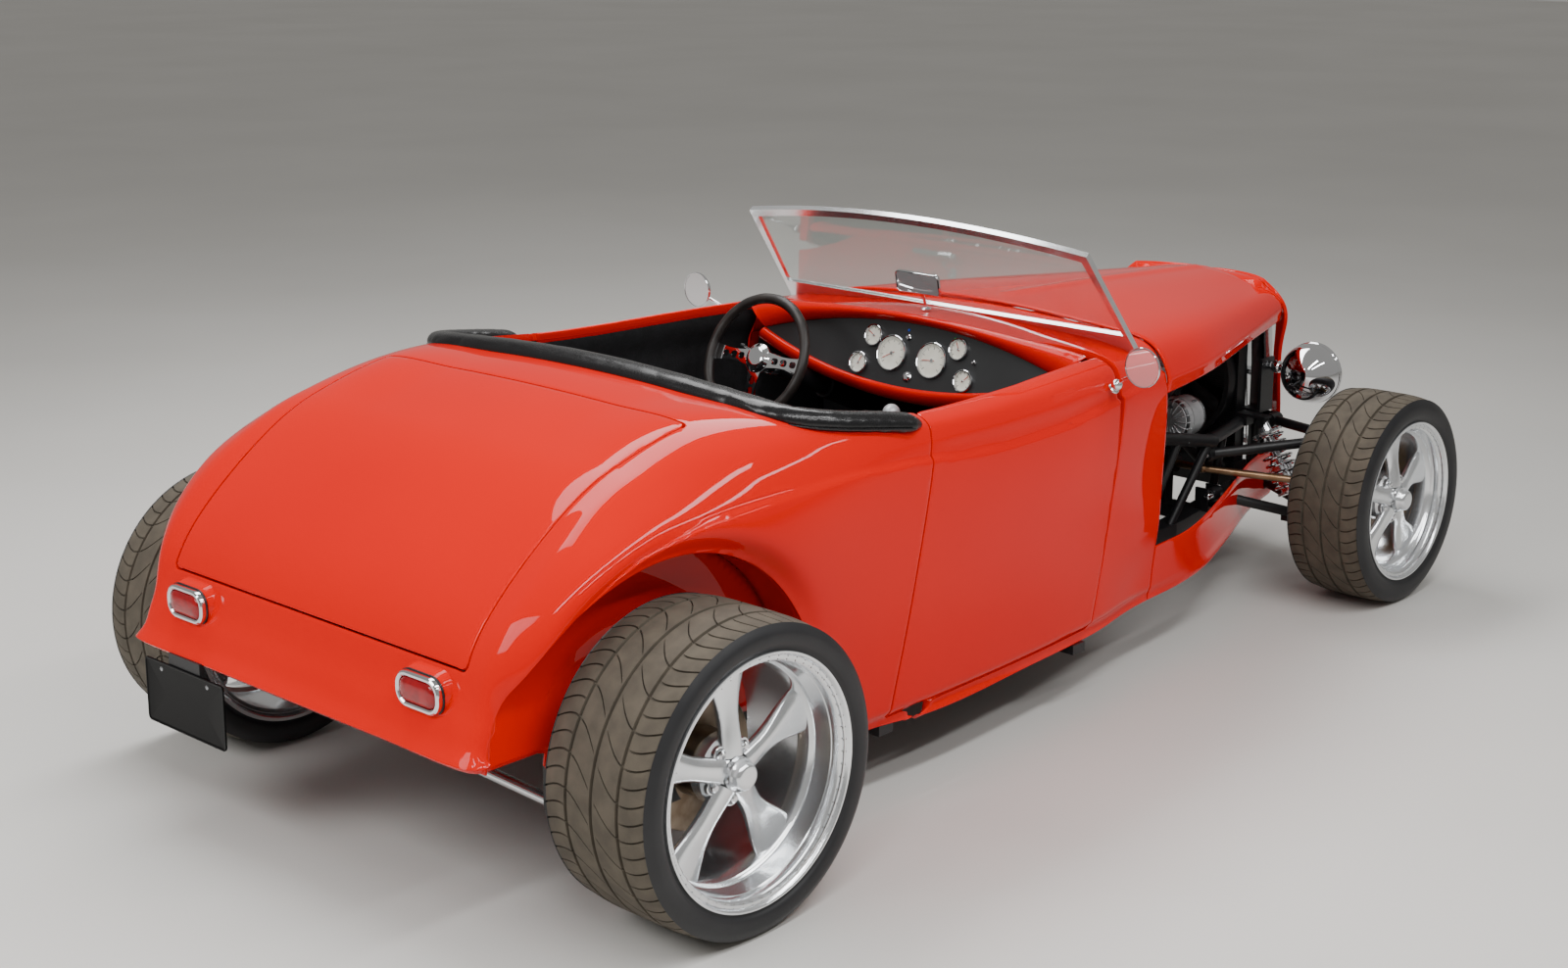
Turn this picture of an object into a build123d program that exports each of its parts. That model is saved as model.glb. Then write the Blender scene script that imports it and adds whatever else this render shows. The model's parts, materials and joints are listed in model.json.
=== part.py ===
from build123d import *
import math
import os

# Kit car: an open two-seat roadster on a tubular frame, with an open engine bay.
# +X is forward, +Y is left, +Z is up, and z = 0 is the ground under the tyres.
# Places along the car are s, in mm forward of the rear axle.

# Wheels and stance
wheelbase = 2845
rear_track = 1568
front_track = 1432
rear_tyre_r = 333
rear_tyre_w = 304
rear_lip_r = 270
rear_barrel_r = 252
front_tyre_r = 306
front_tyre_w = 248
front_lip_r = 235
front_barrel_r = 217
rear_overhang = 490
spoke_count = 5
hub_pad_r = 76
rear_disc_r = 150
front_disc_r = 140
disc_t = 22
disc_gap = 6
caliper_side = 24
disc_plane = -62
flange_in = 6
flange_t = 8
rear_spoke_in = 92
front_spoke_in = 58
spoke_hub_w = 82
spoke_waist_w = 56
spoke_rim_w = 104
spoke_t = 26
bore_r = 22
curved_gap = 0.3

# Body
pivot_z = 408
arch_s = -10
arch_r = 425
arch_z = 329
arch_wall_y = 585
arch_skin = 12
well_rear_z = 388
side_wall = 50
deck_skin = 24
top_rail = 25
rail_lip = 8
rail_under_z = 812
shut_gap = 5
cowl_s = 1880
door_low_s = 700
door_low_z = 200
door_high_s = 788
door_high_z = 886
door_length = 835
hinge_proud = 8
foot_skin = 10
foot_rebate = 16
foot_bevel = 7
lid_front_s = 218
lid_tilt = 68
lid_half = 508
cockpit_rear_s = 450

# Screen, dash and controls
screen_rail = 22
screen_t = 16
glass_t = 6
dash_t = 22
wheel_hub = (1330, 350, 800)
wheel_rake = 24
wheel_rim_r = 168
wheel_rim_d = 28

dash_s = 1572
dash_z = 822
dash_half = 520
dash_up = 86.4
dash_down = 98
dash_lean = 18
column_d = 52
foot_column_d = 68
gear_knob = (1440, -40, 690)
tunnel_z = 400
seat_z = 400
seat_back_s = 490
bulkhead_s = 432
bulkhead_half = 600
firewall_s = 1846
firewall_half = 520
floor_rows = [(bulkhead_s, 600), (1200, 598), (1560, 572), (firewall_s + 12, 532)]
pad_w = 88
pad_h = 64
pad_end_s = 782
pad_rear_s = 416
screen_s = 1718
screen_z = 938
screen_rake = 36.6
screen_low_half = 606
screen_high_half = 579
screen_corner = 280
screen_crown = 332
cowl_top_z = 936
mirror_head = (1531, -771, 908)
mirror_foot = (1560, -673.7, 844.7)
inner_mirror = (1595, 0, 1015)

# Hood, nose and lamps
radiator_high = 815
hood_rear_s = cowl_s + shut_gap
hood_front_s = 2960
hood_t = 14
nose_low_z = 202
nose_foot_s = 3062
nose_wall = 34
grille_rim = 42
bar_w = 7
bar_count = 17
bar_setback = 16
bar_depth = 14
headlight_s = 2950
headlight_y = 430
headlight_z = 610
headlight_r = 93
lamp_s = -448
lamp_y = 408
lamp_z = 514
lamp_w = 138
lamp_h = 78
lamp_corner = 34
plate_y = 367
plate_z = 305
engine_s0 = 1960
engine_s1 = 2500
engine_half = 150
head_w = 150
head_h = 190
head_y = 165
head_z = 600
head_tilt = 40
grille_rail_heights = (330, 560, 740)

# Frame and running gear
rail_w = 60
rail_low = 150
rail_high = 240
rail_y = 340
rail_rear_s = 350
kick_low = 420
kick_high = 480
gearbox_low = 258
floor_z = rail_high + curved_gap
floor_t = 10
tube_d = 38
arm_d = 30
steer_rod_d = 22
spring_seat_z = 218
cup_half = 14
steer_arm = 130
knuckle_y = 600
ball_drop = 112
ball_rise = 148
rod_eye_gap = 6
rack_s = 2570
rack_z = 362
rack_housing = 210
pinion_y = 190
cross_h = 40
frame_rear_s = -330
frame_front_s = 3020
front_rail_y = 232
bay_tube_y = 352
bay_front_s = 2540
bay_front_z = 461

rear_x = -(rear_overhang + wheelbase + front_tyre_r) / 2 + rear_overhang


def at(s):
    """The x of a place s forward of the rear axle."""
    return rear_x + s


def box(s0, s1, y0, y1, z0, z1):
    """A block between two corners, its length given by s."""
    size = Box(s1 - s0, y1 - y0, z1 - z0)
    return Pos(at((s0 + s1) / 2), (y0 + y1) / 2, (z0 + z1) / 2) * size


def rod(start, end, diameter):
    """A round bar between two (s, y, z) points."""
    a = Vector(at(start[0]), start[1], start[2])
    b = Vector(at(end[0]), end[1], end[2])
    return Plane(origin=a, z_dir=b - a) * Cylinder(
        diameter / 2, (b - a).length, align=(Align.CENTER, Align.CENTER, Align.MIN)
    )


def side_prism(points, y0, y1):
    """A side-view (s, z) outline carried from y0 to y1."""
    outline = Polyline(*[(at(s), z) for s, z in points], close=True)
    face = Plane(origin=(0, y1, 0), x_dir=(1, 0, 0), z_dir=(0, -1, 0)) * make_face(outline)
    return extrude(face, amount=y1 - y0)


def plan_prism(points, z0, z1):
    """A plan-view (s, y) outline carried from z0 to z1."""
    outline = Polyline(*[(at(s), y) for s, y in points], close=True)
    return extrude(Pos(0, 0, z0) * make_face(outline), amount=z1 - z0)


def axle_ring(s, y0, y1, z, r_out, r_in=0):
    """A ring or disc about a crosswise axle."""
    solid = Cylinder(r_out, y1 - y0)
    if r_in:
        solid -= Cylinder(r_in, y1 - y0 + 2)
    return Pos(at(s), (y0 + y1) / 2, z) * Rot(90, 0, 0) * solid


def other_side(shape):
    return mirror(shape, about=Plane.XZ)


def both_sides(shape):
    return shape + other_side(shape)


# Body sections. The tail's planes fan back about the pivot line; from the rear axle
# forward they stand upright. Heights are from the pivot in the tail, from the ground
# in the rest.
# Columns: tilt, foot_y, foot_h, belt_y, belt_h, top_y, top_h, crown_h
tail_rows = [
    (90, 636, 300, 616, 440, 560, 478, 480),
    (79, 650, 280, 630, 400, 530, 437, 439),
    (68, 668, 240, 655, 392, 512, 434, 437),
    (46, 690, 180, 684, 384, 508, 426, 431),
    (25, 702, 120, 700, 384, 508, 438, 444),
    (0, 706, 60, 706, 394, 506, 497, 504),
]
# Columns: s, foot_y, foot_h, belt_y, belt_h, top_y, top_h, crown_h
body_rows = [
    (220, 690, 200, 714, 815, 512, 958, 966),
    (470, 668, 176, 722, 822, 640, 932, 978),
    (800, 664, 174, 722, 818, 690, 892, 962),
    (1200, 656, 174, 704, 808, 664, 886, 945),
    (1560, 630, 175, 668, 804, 622, 886, 936),
    (cowl_s, 592, 180, 612, 790, 540, 886, 926),
]
side_bulge = 0.012
shoulder_bulge = 0.11
inner_belt_drop = 8


def section_plane(tilt=None, s=None):
    """A body section's plane, with its x along +Y and its y up the section."""
    if tilt is None:
        return Plane(origin=(at(s), 0, 0), x_dir=(0, 1, 0), z_dir=(1, 0, 0))
    a = math.radians(tilt)
    return Plane(
        origin=(at(0), 0, pivot_z), x_dir=(0, 1, 0), z_dir=(math.cos(a), 0, math.sin(a))
    )


def arc_between(a, b, bulge):
    """An arc from a to b that rises to the left of the chord by bulge of its length."""
    dx, dy = b[0] - a[0], b[1] - a[1]
    middle = ((a[0] + b[0]) / 2 - bulge * dy, (a[1] + b[1]) / 2 + bulge * dx)
    return ThreePointArc(a, middle, b)


def body_section(row, inset, drop):
    """Edges over the body from the left foot to the right one, at an inset."""
    foot_y, foot_h, belt_y, belt_h, top_y, top_h, crown_h = row
    foot = (foot_y - inset, foot_h)
    belt = (belt_y - inset, belt_h - (inner_belt_drop if inset else 0))
    top = (top_y - (top_rail if inset else 0), top_h - drop)
    crown = (0, crown_h - drop)
    mirrored = [(-p[0], p[1]) for p in (top, belt, foot)]
    edges = [
        arc_between(foot, belt, -side_bulge),
        arc_between(belt, top, -shoulder_bulge),
        ThreePointArc(top, crown, mirrored[0]),
        arc_between(mirrored[0], mirrored[1], -shoulder_bulge),
        arc_between(mirrored[1], mirrored[2], -side_bulge),
    ]
    return edges, foot


def band_face(plane, row):
    """The shell's own thickness at a section, open below."""
    outer, foot = body_section(row, 0, 0)
    inner, inner_foot = body_section(row, side_wall, deck_skin)
    ends = [
        Line(foot, inner_foot),
        Line((-foot[0], foot[1]), (-inner_foot[0], inner_foot[1])),
    ]
    return plane * make_face(outer + inner + ends)


def body_loft():
    """The shell's band through the tail's fan and the upright sections."""
    fan = [band_face(section_plane(tilt=row[0]), row[1:]) for row in tail_rows]
    upright = [band_face(section_plane(s=row[0]), row[1:]) for row in body_rows]
    return loft(fan + upright, ruled=True)


# Door lines. The rear line leans forward; the hinge line runs along it, just outside
# the widest part, and the front edge is an arc about that line.
door_lean = math.atan2(door_high_s - door_low_s, door_high_z - door_low_z)
belt_half = max(row[3] for row in body_rows)
hinge_y = belt_half + hinge_proud
door_axis = (math.sin(door_lean), 0, math.cos(door_lean))


def on_door_line(z):
    """The s of the door's rear line at a height."""
    return door_low_s + (z - door_low_z) * math.tan(door_lean)


def rail_line(rows):
    """Plan points along the inner edge of the right-hand top rail."""
    return [(row[0], -(row[5] - top_rail - rail_lip)) for row in rows]


def door_tool(grow):
    """Right door's outline as a solid, grown by the shut gap for the opening."""
    low, high = door_low_z - grow, 1100
    foot = Vector(at(on_door_line(low - 200)), -hinge_y, low - 200)
    drum = Plane(origin=foot, z_dir=door_axis) * Cylinder(
        door_length + grow, 1500, align=(Align.CENTER, Align.CENTER, Align.MIN)
    )
    near = shut_gap - grow
    far_s = door_low_s + door_length + 300
    slab = side_prism(
        [(on_door_line(low) + near, low), (far_s, low), (far_s, high),
         (on_door_line(high) + near, high)],
        -hinge_y, -450,
    )
    inner = [(s, y + grow) for s, y in rail_line(body_rows[1:])]
    inner = inner + [(inner[-1][0], 0), (inner[0][0], 0)]
    return (slab - plan_prism(inner, rail_under_z, high + 10)) & drum


def lid_tool(grow):
    """Deck lid's outline: straight down at its front, square to the deck at its foot."""
    a = math.radians(lid_tilt)
    nx, nz = math.cos(a), math.sin(a)
    far = 700
    foot = (-far * nz - grow * nx, pivot_z + far * nx - grow * nz)
    near = (-120 * nz - grow * nx, pivot_z + 120 * nx - grow * nz)
    front = lid_front_s - shut_gap / 2 + grow
    outline = [near, (front, near[1]), (front, 1150), (foot[0], 1150), foot]
    return side_prism(outline, -lid_half - grow, lid_half + grow)


def cockpit_tool():
    """The open cockpit, inside the top rails."""
    rail = rail_line(body_rows[1:5])
    right = [(cockpit_rear_s, rail[0][1] + 70), (cockpit_rear_s + 110, rail[0][1])] + rail[1:]
    outline = right + [(s, -y) for s, y in reversed(right)]
    return plan_prism(outline, 620, 1150)


def arch_tool():
    """The rear arches' openings, from the wheel well's wall outwards."""
    return both_sides(axle_ring(arch_s, -900, -arch_wall_y, arch_z, arch_r))


def wheel_wells():
    """Inner wall and roof of each rear wheel well, kept inside the body's skin."""
    wall_out = arch_wall_y - arch_skin
    outer = axle_ring(arch_s, -760, -wall_out, arch_z, arch_r + arch_skin)
    outer -= axle_ring(arch_s, -762, -arch_wall_y, arch_z, arch_r)
    tail_edge = [
        (-row[4] * math.sin(math.radians(row[0])), -row[3] + side_wall / 2) for row in tail_rows
    ]
    front = arch_s + arch_r + arch_skin + 2
    outline = tail_edge + [(front, tail_edge[-1][1]), (front, 0), (tail_edge[0][0], 0)]
    wells = outer & plan_prism(outline, pivot_z - 100, 900)
    return both_sides(wells - box(-460, -400, -760, 0, 290, well_rear_z))


def lid_tongue():
    """Tongue under the deck lid's front edge, which the closed lid rests on."""
    row, ahead = tail_rows[-1], body_rows[0]
    slope = (ahead[7] - row[7] - pivot_z) / ahead[0]
    rest = pivot_z + row[7] - deck_skin - 4.1
    root = ahead[0] + shut_gap / 2
    outline = [
        (root - 37, rest + slope * (root - 37)), (root - 4, rest + slope * (root - 4)),
        (root, ahead[7] - 18), (root + 40, ahead[7] - 18), (root + 40, ahead[7] - 36),
        (root, ahead[7] - 40), (root - 37, rest + slope * (root - 37) - 9),
    ]
    return side_prism(outline, -330, -270)


def door_striker():
    """Striker in the right door's front gap, just clear of the door's round edge."""
    foot = Vector(at(on_door_line(400)), -hinge_y, 400)
    plane = Plane(origin=foot, z_dir=door_axis)
    ring = plane * Cylinder(door_length + shut_gap + 4, 300, align=(Align.CENTER, Align.CENTER, Align.MIN))
    ring -= plane * Cylinder(door_length + 2 * curved_gap, 300, align=(Align.CENTER, Align.CENTER, Align.MIN))
    return ring & box(1450, 1700, -632, -608, 480, 560)


def door_foot_relief():
    """Rebate inside the door's foot and a bevel at its rear corner, so that the leaning
    hinge can carry them over the sill."""
    low = door_low_z - 10
    skirt = [(row[0], -(row[1] - foot_skin)) for row in body_rows[2:5]]
    first, last = (door_low_s - 40, skirt[0][1]), (skirt[-1][0] + 40, skirt[-1][1])
    edge = [first] + skirt + [last]
    rebate = plan_prism(edge + [(last[0], -450), (first[0], -450)], low, door_low_z + foot_rebate)
    bevel = side_prism(
        [(door_low_s - 20, low), (door_low_s + 110, low), (door_low_s + 110, door_low_z),
         (door_low_s, door_low_z + foot_bevel), (door_low_s - 20, door_low_z + foot_bevel)],
        -hinge_y, -450,
    )
    return rebate + bevel


def axle_slot():
    """Slot through the wheel wells' walls for the axle and its travel."""
    return box(-70, 70, -700, 700, 250, 440)


def body_parts():
    """Body shell, deck lid and doors, all cut from the one band."""
    ground_line = side_prism(
        [(-520, pivot_z), (-60, pivot_z), (-60, body_rows[-2][2]), (1900, body_rows[-2][2]),
         (1900, 1100), (-520, 1100)], -900, 900
    )
    band = body_band & ground_line
    band -= arch_tool()
    lid = band & lid_tool(0)
    band -= lid_tool(shut_gap)
    band -= cockpit_tool()
    right_door = band & door_tool(0) - door_foot_relief()
    opening = door_tool(shut_gap)
    band -= opening
    band -= other_side(opening)
    wells = wheel_wells() - axle_slot()
    return band + wells + both_sides(lid_tongue()) + both_sides(door_striker()), lid, right_door


def under_skin(rows, lift):
    """Everything below the body's outer skin between upright sections, lifted."""
    faces = []
    for row in rows:
        outer, foot = body_section(row[1:], 0, 0)
        closed = make_face(outer + [Line(foot, (-foot[0], foot[1]))])
        faces.append(section_plane(s=row[0]) * closed)
    return Pos(0, 0, lift) * loft(faces, ruled=True)


# Hood. Columns: s, foot_y, foot_h, belt_y, belt_h, top_y, top_h, crown_h
hood_rows = [
    (hood_rear_s, 604, 758, 608, 794, 540, 884, 927),
    (2150, 552, 758, 556, 792, 474, 876, 919),
    (2500, 444, 757, 448, 788, 364, 862, 904),
    (hood_front_s, 298, 754, 302, 796, 222, 840, 878),
]


def hood():
    """Smooth top panel with open sides."""
    faces = []
    for row in hood_rows:
        outer, foot = body_section(row[1:], 0, 0)
        inner, inner_foot = body_section(row[1:], hood_t, hood_t)
        ends = [Line(foot, inner_foot), Line((-foot[0], foot[1]), (-inner_foot[0], inner_foot[1]))]
        faces.append(section_plane(s=row[0]) * make_face(outer + inner + ends))
    rest = box(2905, 2945, -180, -140, radiator_high + curved_gap, 855)
    return loft(faces, ruled=True) + both_sides(rest)


# Grille shell by height. Columns: z, rear_s, half_width, nose_s
nose_rows = [
    (nose_low_z, 3060, 244, 3140),
    (450, 3028, 272, 3118),
    (700, 2995, 292, 3090),
    (820, 2974, 286, 3068),
    (868, 2968, 226, 3040),
]


def nose_face(z, rear_s, half, nose_s):
    """Plan section of the nose: flat behind, two arcs to a soft prow."""
    prow = 12
    bow = 0.12
    left = arc_between((at(nose_s), prow), (at(rear_s), half), -bow)
    right = arc_between((at(rear_s), -half), (at(nose_s), -prow), -bow)
    edges = [
        left,
        Line((at(rear_s), half), (at(rear_s), -half)),
        right,
        Line((at(nose_s), -prow), (at(nose_s), prow)),
    ]
    return Pos(0, 0, z) * make_face(edges)


def nose_loft(side_in, nose_in, low, high, rear_in=0):
    """The nose's form, taken in at its sides, front, foot and top."""
    faces = []
    for z, rear_s, half, nose_s in nose_rows:
        height = min(max(z, nose_rows[0][0] + low), nose_rows[-1][0] - high)
        faces.append(nose_face(height, rear_s + rear_in, half - side_in, nose_s - nose_in))
    return loft(faces, ruled=True)


def grille_opening(rim):
    """Front-view outline of the grille's opening, carried forward through the nose."""
    side = [(row[2] - rim, max(row[0], nose_rows[0][0] + rim)) for row in nose_rows[:-1]]
    side.append((nose_rows[-1][2] - rim, nose_rows[-1][0] - rim))
    outline = side + [(-y, z) for y, z in reversed(side)]
    plane = Plane(origin=(at(2900), 0, 0), x_dir=(0, 1, 0), z_dir=(1, 0, 0))
    return extrude(plane * make_face(Polyline(*outline, close=True)), amount=300)


def grille_shell():
    """Painted surround of the grille, hollow and open at its back."""
    hollow = nose_loft(nose_wall, nose_wall, nose_wall, nose_wall, -80)
    shell = nose_loft(0, 0, 0, 0) - hollow - grille_opening(grille_rim)
    y = front_rail_y - rail_w / 2
    foot = box(frame_front_s + curved_gap, nose_foot_s, -y - 20, -y + 20, nose_low_z + 4, nose_low_z + 30)
    return shell + both_sides(foot)


def nose_layer(near, far):
    """The part of the nose between two setbacks of its face, inside the opening."""
    return nose_loft(0, near, 0, 0) - nose_loft(0, far, -20, -20, -80)


def grille_bars():
    """Upright bars set back from the surround, on curved rails behind them."""
    span = 2 * (nose_rows[2][2] - grille_rim) - 30
    step = span / (bar_count - 1)
    uprights = Part()
    for i in range(bar_count):
        y = -span / 2 + i * step
        uprights += box(2900, 3200, y - bar_w / 2, y + bar_w / 2, 150, 900)
    rails = Part()
    for z in grille_rail_heights:
        rails += box(2900, 3200, -300, 300, z - 8, z + 8)
    back = bar_setback + bar_depth
    bars = nose_layer(bar_setback, back) & uprights
    bars += nose_layer(back - 4, back + 8) & rails
    return bars & grille_opening(grille_rim + curved_gap)


# Lower side aprons from the cowl to the nose. Columns: s, y
apron_rows = [(1886, 606), (2010, 592), (2337, 496), (2600, 398), (2851, 305), (3030, 259)]
apron_t = 10
apron_low = 180
apron_high = 335


def apron():
    """Right-hand apron, a bent strip, notched where the links pass."""
    outer = [(s, -y) for s, y in apron_rows]
    inner = [(s, -(y - apron_t)) for s, y in reversed(apron_rows)]
    strip = plan_prism(outer + inner, apron_low, apron_high)
    for start, end in lower_links():
        strip -= rod(start, end, arm_d + 24)
        strip -= rod((start[0] - 34, *start[1:]), (start[0] + 34, *start[1:]), arm_d + 28)
    for s, reach in ((2110, 553), (2905, 284)):
        strip += box(s, s + 20, -reach, -rail_half(s) - curved_gap, 195, 225)
    return strip


def both_wheels(front):
    """Sizes of a front or rear wheel: place, track half, tyre and rim sizes."""
    if front:
        return dict(
            s=wheelbase, y=front_track / 2, r=front_tyre_r, w=front_tyre_w,
            lip_r=front_lip_r, barrel_r=front_barrel_r, disc_r=front_disc_r,
            spoke_in=front_spoke_in,
        )
    return dict(
        s=0, y=rear_track / 2, r=rear_tyre_r, w=rear_tyre_w,
        lip_r=rear_lip_r, barrel_r=rear_barrel_r, disc_r=rear_disc_r,
        spoke_in=rear_spoke_in,
    )


def turned(points, wheel):
    """A lathe shape about the right-hand wheel's axle, from (outboard, radius) points."""
    face = make_face(Polyline(*[(w, r) for w, r in points], close=True))
    centre = Plane(origin=(at(wheel["s"]), -wheel["y"], wheel["r"]), x_dir=(0, -1, 0), z_dir=(1, 0, 0))
    return revolve(centre * face, axis=Axis((at(wheel["s"]), 0, wheel["r"]), (0, 1, 0)))


def tyre(wheel):
    """Tyre seated between the rim's flanges, with rounded shoulders."""
    half = wheel["w"] / 2
    bead = half - flange_in - flange_t - curved_gap
    r, lip = wheel["r"], wheel["lip_r"]
    seat = wheel["barrel_r"] + curved_gap
    side = [
        (bead, seat), (bead, lip + curved_gap), (bead + 3, lip + 6), (half - 3, lip + 14),
        (half, (lip + r) / 2), (half - 5, r - 18), (half - 16, r - 7), (half - 34, r - 2),
        (half - 70, r),
    ]
    return turned(side + [(-w, d) for w, d in reversed(side)], wheel)


def rim_barrel(wheel):
    """Lipped barrel with a deep stepped dish outboard of the spokes."""
    lip, b = wheel["lip_r"], wheel["barrel_r"]
    edge = wheel["w"] / 2 - flange_in
    step = edge - wheel["spoke_in"]
    return turned(
        [
            (edge, lip), (edge, lip - 7), (edge - 6, lip - 12), (edge - 14, b - 7),
            (edge - 34, b - 9), (step + 14, b - 13), (step + 6, b - 24), (step - 26, b - 24),
            (step - 34, b - 10), (14 - edge, b - 8), (5 - edge, lip - 12), (-edge, lip - 8),
            (-edge, lip), (flange_t - edge, lip), (flange_t - edge, b), (edge - flange_t, b),
            (edge - flange_t, lip),
        ],
        wheel,
    )


def spoke_face(wheel):
    """One spoke's outline: broad at the hub, waisted, flaring into the barrel."""
    end = wheel["barrel_r"] - 18
    waist_r = (hub_pad_r + end) / 2
    half = [(hub_pad_r - 24, spoke_hub_w / 2), (waist_r, spoke_waist_w / 2), (end, spoke_rim_w / 2)]
    up = ThreePointArc(*half)
    down = ThreePointArc(*[(r, -t) for r, t in half])
    ends = [Line(half[0], (half[0][0], -half[0][1])), Line(half[2], (half[2][0], -half[2][1]))]
    return make_face([up, down] + ends)


def rim(wheel):
    """Five-spoke rim with its hub, and the brake disc's hat bolted behind."""
    edge = wheel["w"] / 2 - flange_in
    step = edge - wheel["spoke_in"]
    solid = rim_barrel(wheel)
    hub = [
        (step + 22, 0), (step + 22, 26), (step - 2, 34), (step - 2, 62), (step - 8, hub_pad_r),
        (step - 44, hub_pad_r), (step - 44, bore_r), (step - 18, bore_r), (step - 18, 0),
    ]
    solid += turned(hub, wheel)
    for i in range(spoke_count):
        angle = 90 + i * 360 / spoke_count
        plane = Plane(
            origin=(at(wheel["s"]), -wheel["y"] - step + 28, wheel["r"]), z_dir=(0, -1, 0)
        )
        solid += plane * Rot(0, 0, angle) * extrude(spoke_face(wheel), amount=spoke_t)
    disc_out = step - 44
    disc = [
        (disc_out, bore_r), (disc_out, 70), (disc_plane + disc_t, 74),
        (disc_plane + disc_t, wheel["disc_r"]), (disc_plane, wheel["disc_r"]), (disc_plane, 60),
        (disc_out - 8, 60), (disc_out - 8, bore_r),
    ]
    return solid, turned(disc, wheel)


def caliper(wheel, forward):
    """Brake caliper bridging the disc ahead of or behind the axle, right-hand."""
    r = wheel["disc_r"]
    low, high = disc_plane - caliper_side, disc_plane + disc_t + caliper_side
    ring = turned([(low, r - 58), (low, r + 30), (high, r + 30), (high, r - 58)], wheel)
    swept = turned(
        [
            (disc_plane - disc_gap, 20), (disc_plane - disc_gap, r + disc_gap),
            (disc_plane + disc_t + disc_gap, r + disc_gap), (disc_plane + disc_t + disc_gap, 20),
        ],
        wheel,
    )
    reach = forward * (r + 60)
    s0, s1 = sorted((wheel["s"] + forward * 40, wheel["s"] + reach))
    y0, y1 = -wheel["y"] - 200, -wheel["y"] + 200
    window = box(s0, s1, y0, y1, wheel["r"] - 58, wheel["r"] + 62)
    return (ring - swept) & window


# Front links, right-hand, as (s, y, z) ends: inner pivots, then the ball joint.
def front_joints():
    """Lower and upper ball joints of the right-hand upright."""
    low = (wheelbase, -knuckle_y, front_tyre_r - ball_drop)
    high = (wheelbase, -knuckle_y, front_tyre_r + ball_rise)
    return low, high


def lower_links():
    low, _ = front_joints()
    return [((2590, -330, 285), low), ((2990, -264, 232), low)]


def upper_links():
    _, high = front_joints()
    return [((2566, -322, 412), high), ((2968, -296, 440), high)]


def links():
    """Tubular control arms, each leg with its bush eye, meeting at the ball joint's cup."""
    arms = Part()
    for pair in (lower_links(), upper_links()):
        tip = pair[0][1]
        arms += rod((tip[0], tip[1], tip[2] - cup_half), (tip[0], tip[1], tip[2] + cup_half), 44)
        for start, end in pair:
            toward = tuple(end[i] + (start[i] - end[i]) * 0.08 for i in range(3))
            arms += rod(start, toward, arm_d)
            bush = (start[0] - 24, start[1], start[2]), (start[0] + 24, start[1], start[2])
            arms += rod(*bush, arm_d + 14)
        arms += box(tip[0] - 24, tip[0] + 24, tip[1] + 8, tip[1] + 36, tip[2] - cup_half, tip[2] + cup_half)
    arms += box(2740, 2895, -500, -472, 200, spring_seat_z)
    return arms


def knuckle():
    """Right-hand upright with its spindle, steering arm and caliper."""
    wheel = both_wheels(True)
    low, high = front_joints()
    y = -knuckle_y
    foot, head = low[2] + cup_half + curved_gap, high[2] - cup_half - curved_gap
    post = rod((low[0], y - 22, foot), (high[0], y - 22, head), 40)
    post += rod((low[0], y, foot), (low[0], y, foot + 24), 40)
    post += rod((high[0], y, head - 24), (high[0], y, head), 40)
    hub = rod((wheelbase, y + 2, wheel["r"]), (wheelbase, y - 44, wheel["r"]), 96)
    step = wheel["w"] / 2 - flange_in - wheel["spoke_in"]
    spindle_end = -wheel["y"] - step + 18 + curved_gap
    spindle_d = 2 * (bore_r - curved_gap)
    spindle = rod((wheelbase, y - 40, wheel["r"]), (wheelbase, spindle_end, wheel["r"]), spindle_d)
    arm_z = wheel["r"] + 66
    eye_s = wheelbase - steer_arm
    arm = rod((wheelbase, y - 18, arm_z), (eye_s, y + 14, arm_z), 24)
    eye = box(eye_s - 16, eye_s + 16, y - 2, y + 30, arm_z - 12, arm_z + 12)
    lug_y = -wheel["y"] - disc_plane + disc_gap + 8
    lug_end = wheelbase + wheel["disc_r"] - 10
    lug = box(wheelbase + 30, lug_end, lug_y, y - 2, wheel["r"] - 30, wheel["r"] + 30)
    return post + hub + spindle + arm + eye + lug + caliper(wheel, 1)


def steering_rods():
    """Sliding rack rod and both tie rods, with eyes under the steering arms."""
    rack_half = 300
    arm_z = front_tyre_r + 66
    eye_z = arm_z - 12 - rod_eye_gap - 10
    solid = rod((rack_s, -rack_half, rack_z), (rack_s, rack_half, rack_z), steer_rod_d)
    eye_s = wheelbase - steer_arm
    eye_y = knuckle_y - 14
    for side in (-1, 1):
        inner, outer = (rack_s, side * rack_half, rack_z), (eye_s, side * eye_y, eye_z)
        solid += rod(inner, outer, steer_rod_d)
        solid += box(eye_s - 16, eye_s + 16, side * eye_y - 16, side * eye_y + 16, eye_z - 10, eye_z + 10)
        solid += Pos(at(rack_s), side * rack_half, rack_z) * Sphere(steer_rod_d / 2 + 3)
    return solid


def steering_rack():
    """Rack housing around the sliding rod, on two feet, with the pinion's tower."""
    housing = rod((rack_s, -rack_housing, rack_z), (rack_s, rack_housing, rack_z), 52)
    housing += rod((rack_s, pinion_y, rack_z), (rack_s - 48, pinion_y, rack_z + 68), 40)
    for side in (-1, 1):
        y = side * (rack_housing - 40)
        housing += box(rack_s - 20, rack_s + 20, y - 16, y + 16, rail_high, rack_z)
    return housing - rod((rack_s, -400, rack_z), (rack_s, 400, rack_z), steer_rod_d + 2 * curved_gap)


def rail_half(s):
    """Outer half width of the ladder's rails at a place along the car."""
    taper = (s - 2380) / (frame_front_s - 2380)
    return rail_y - (rail_y - front_rail_y) * min(max(taper, 0), 1)


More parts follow.
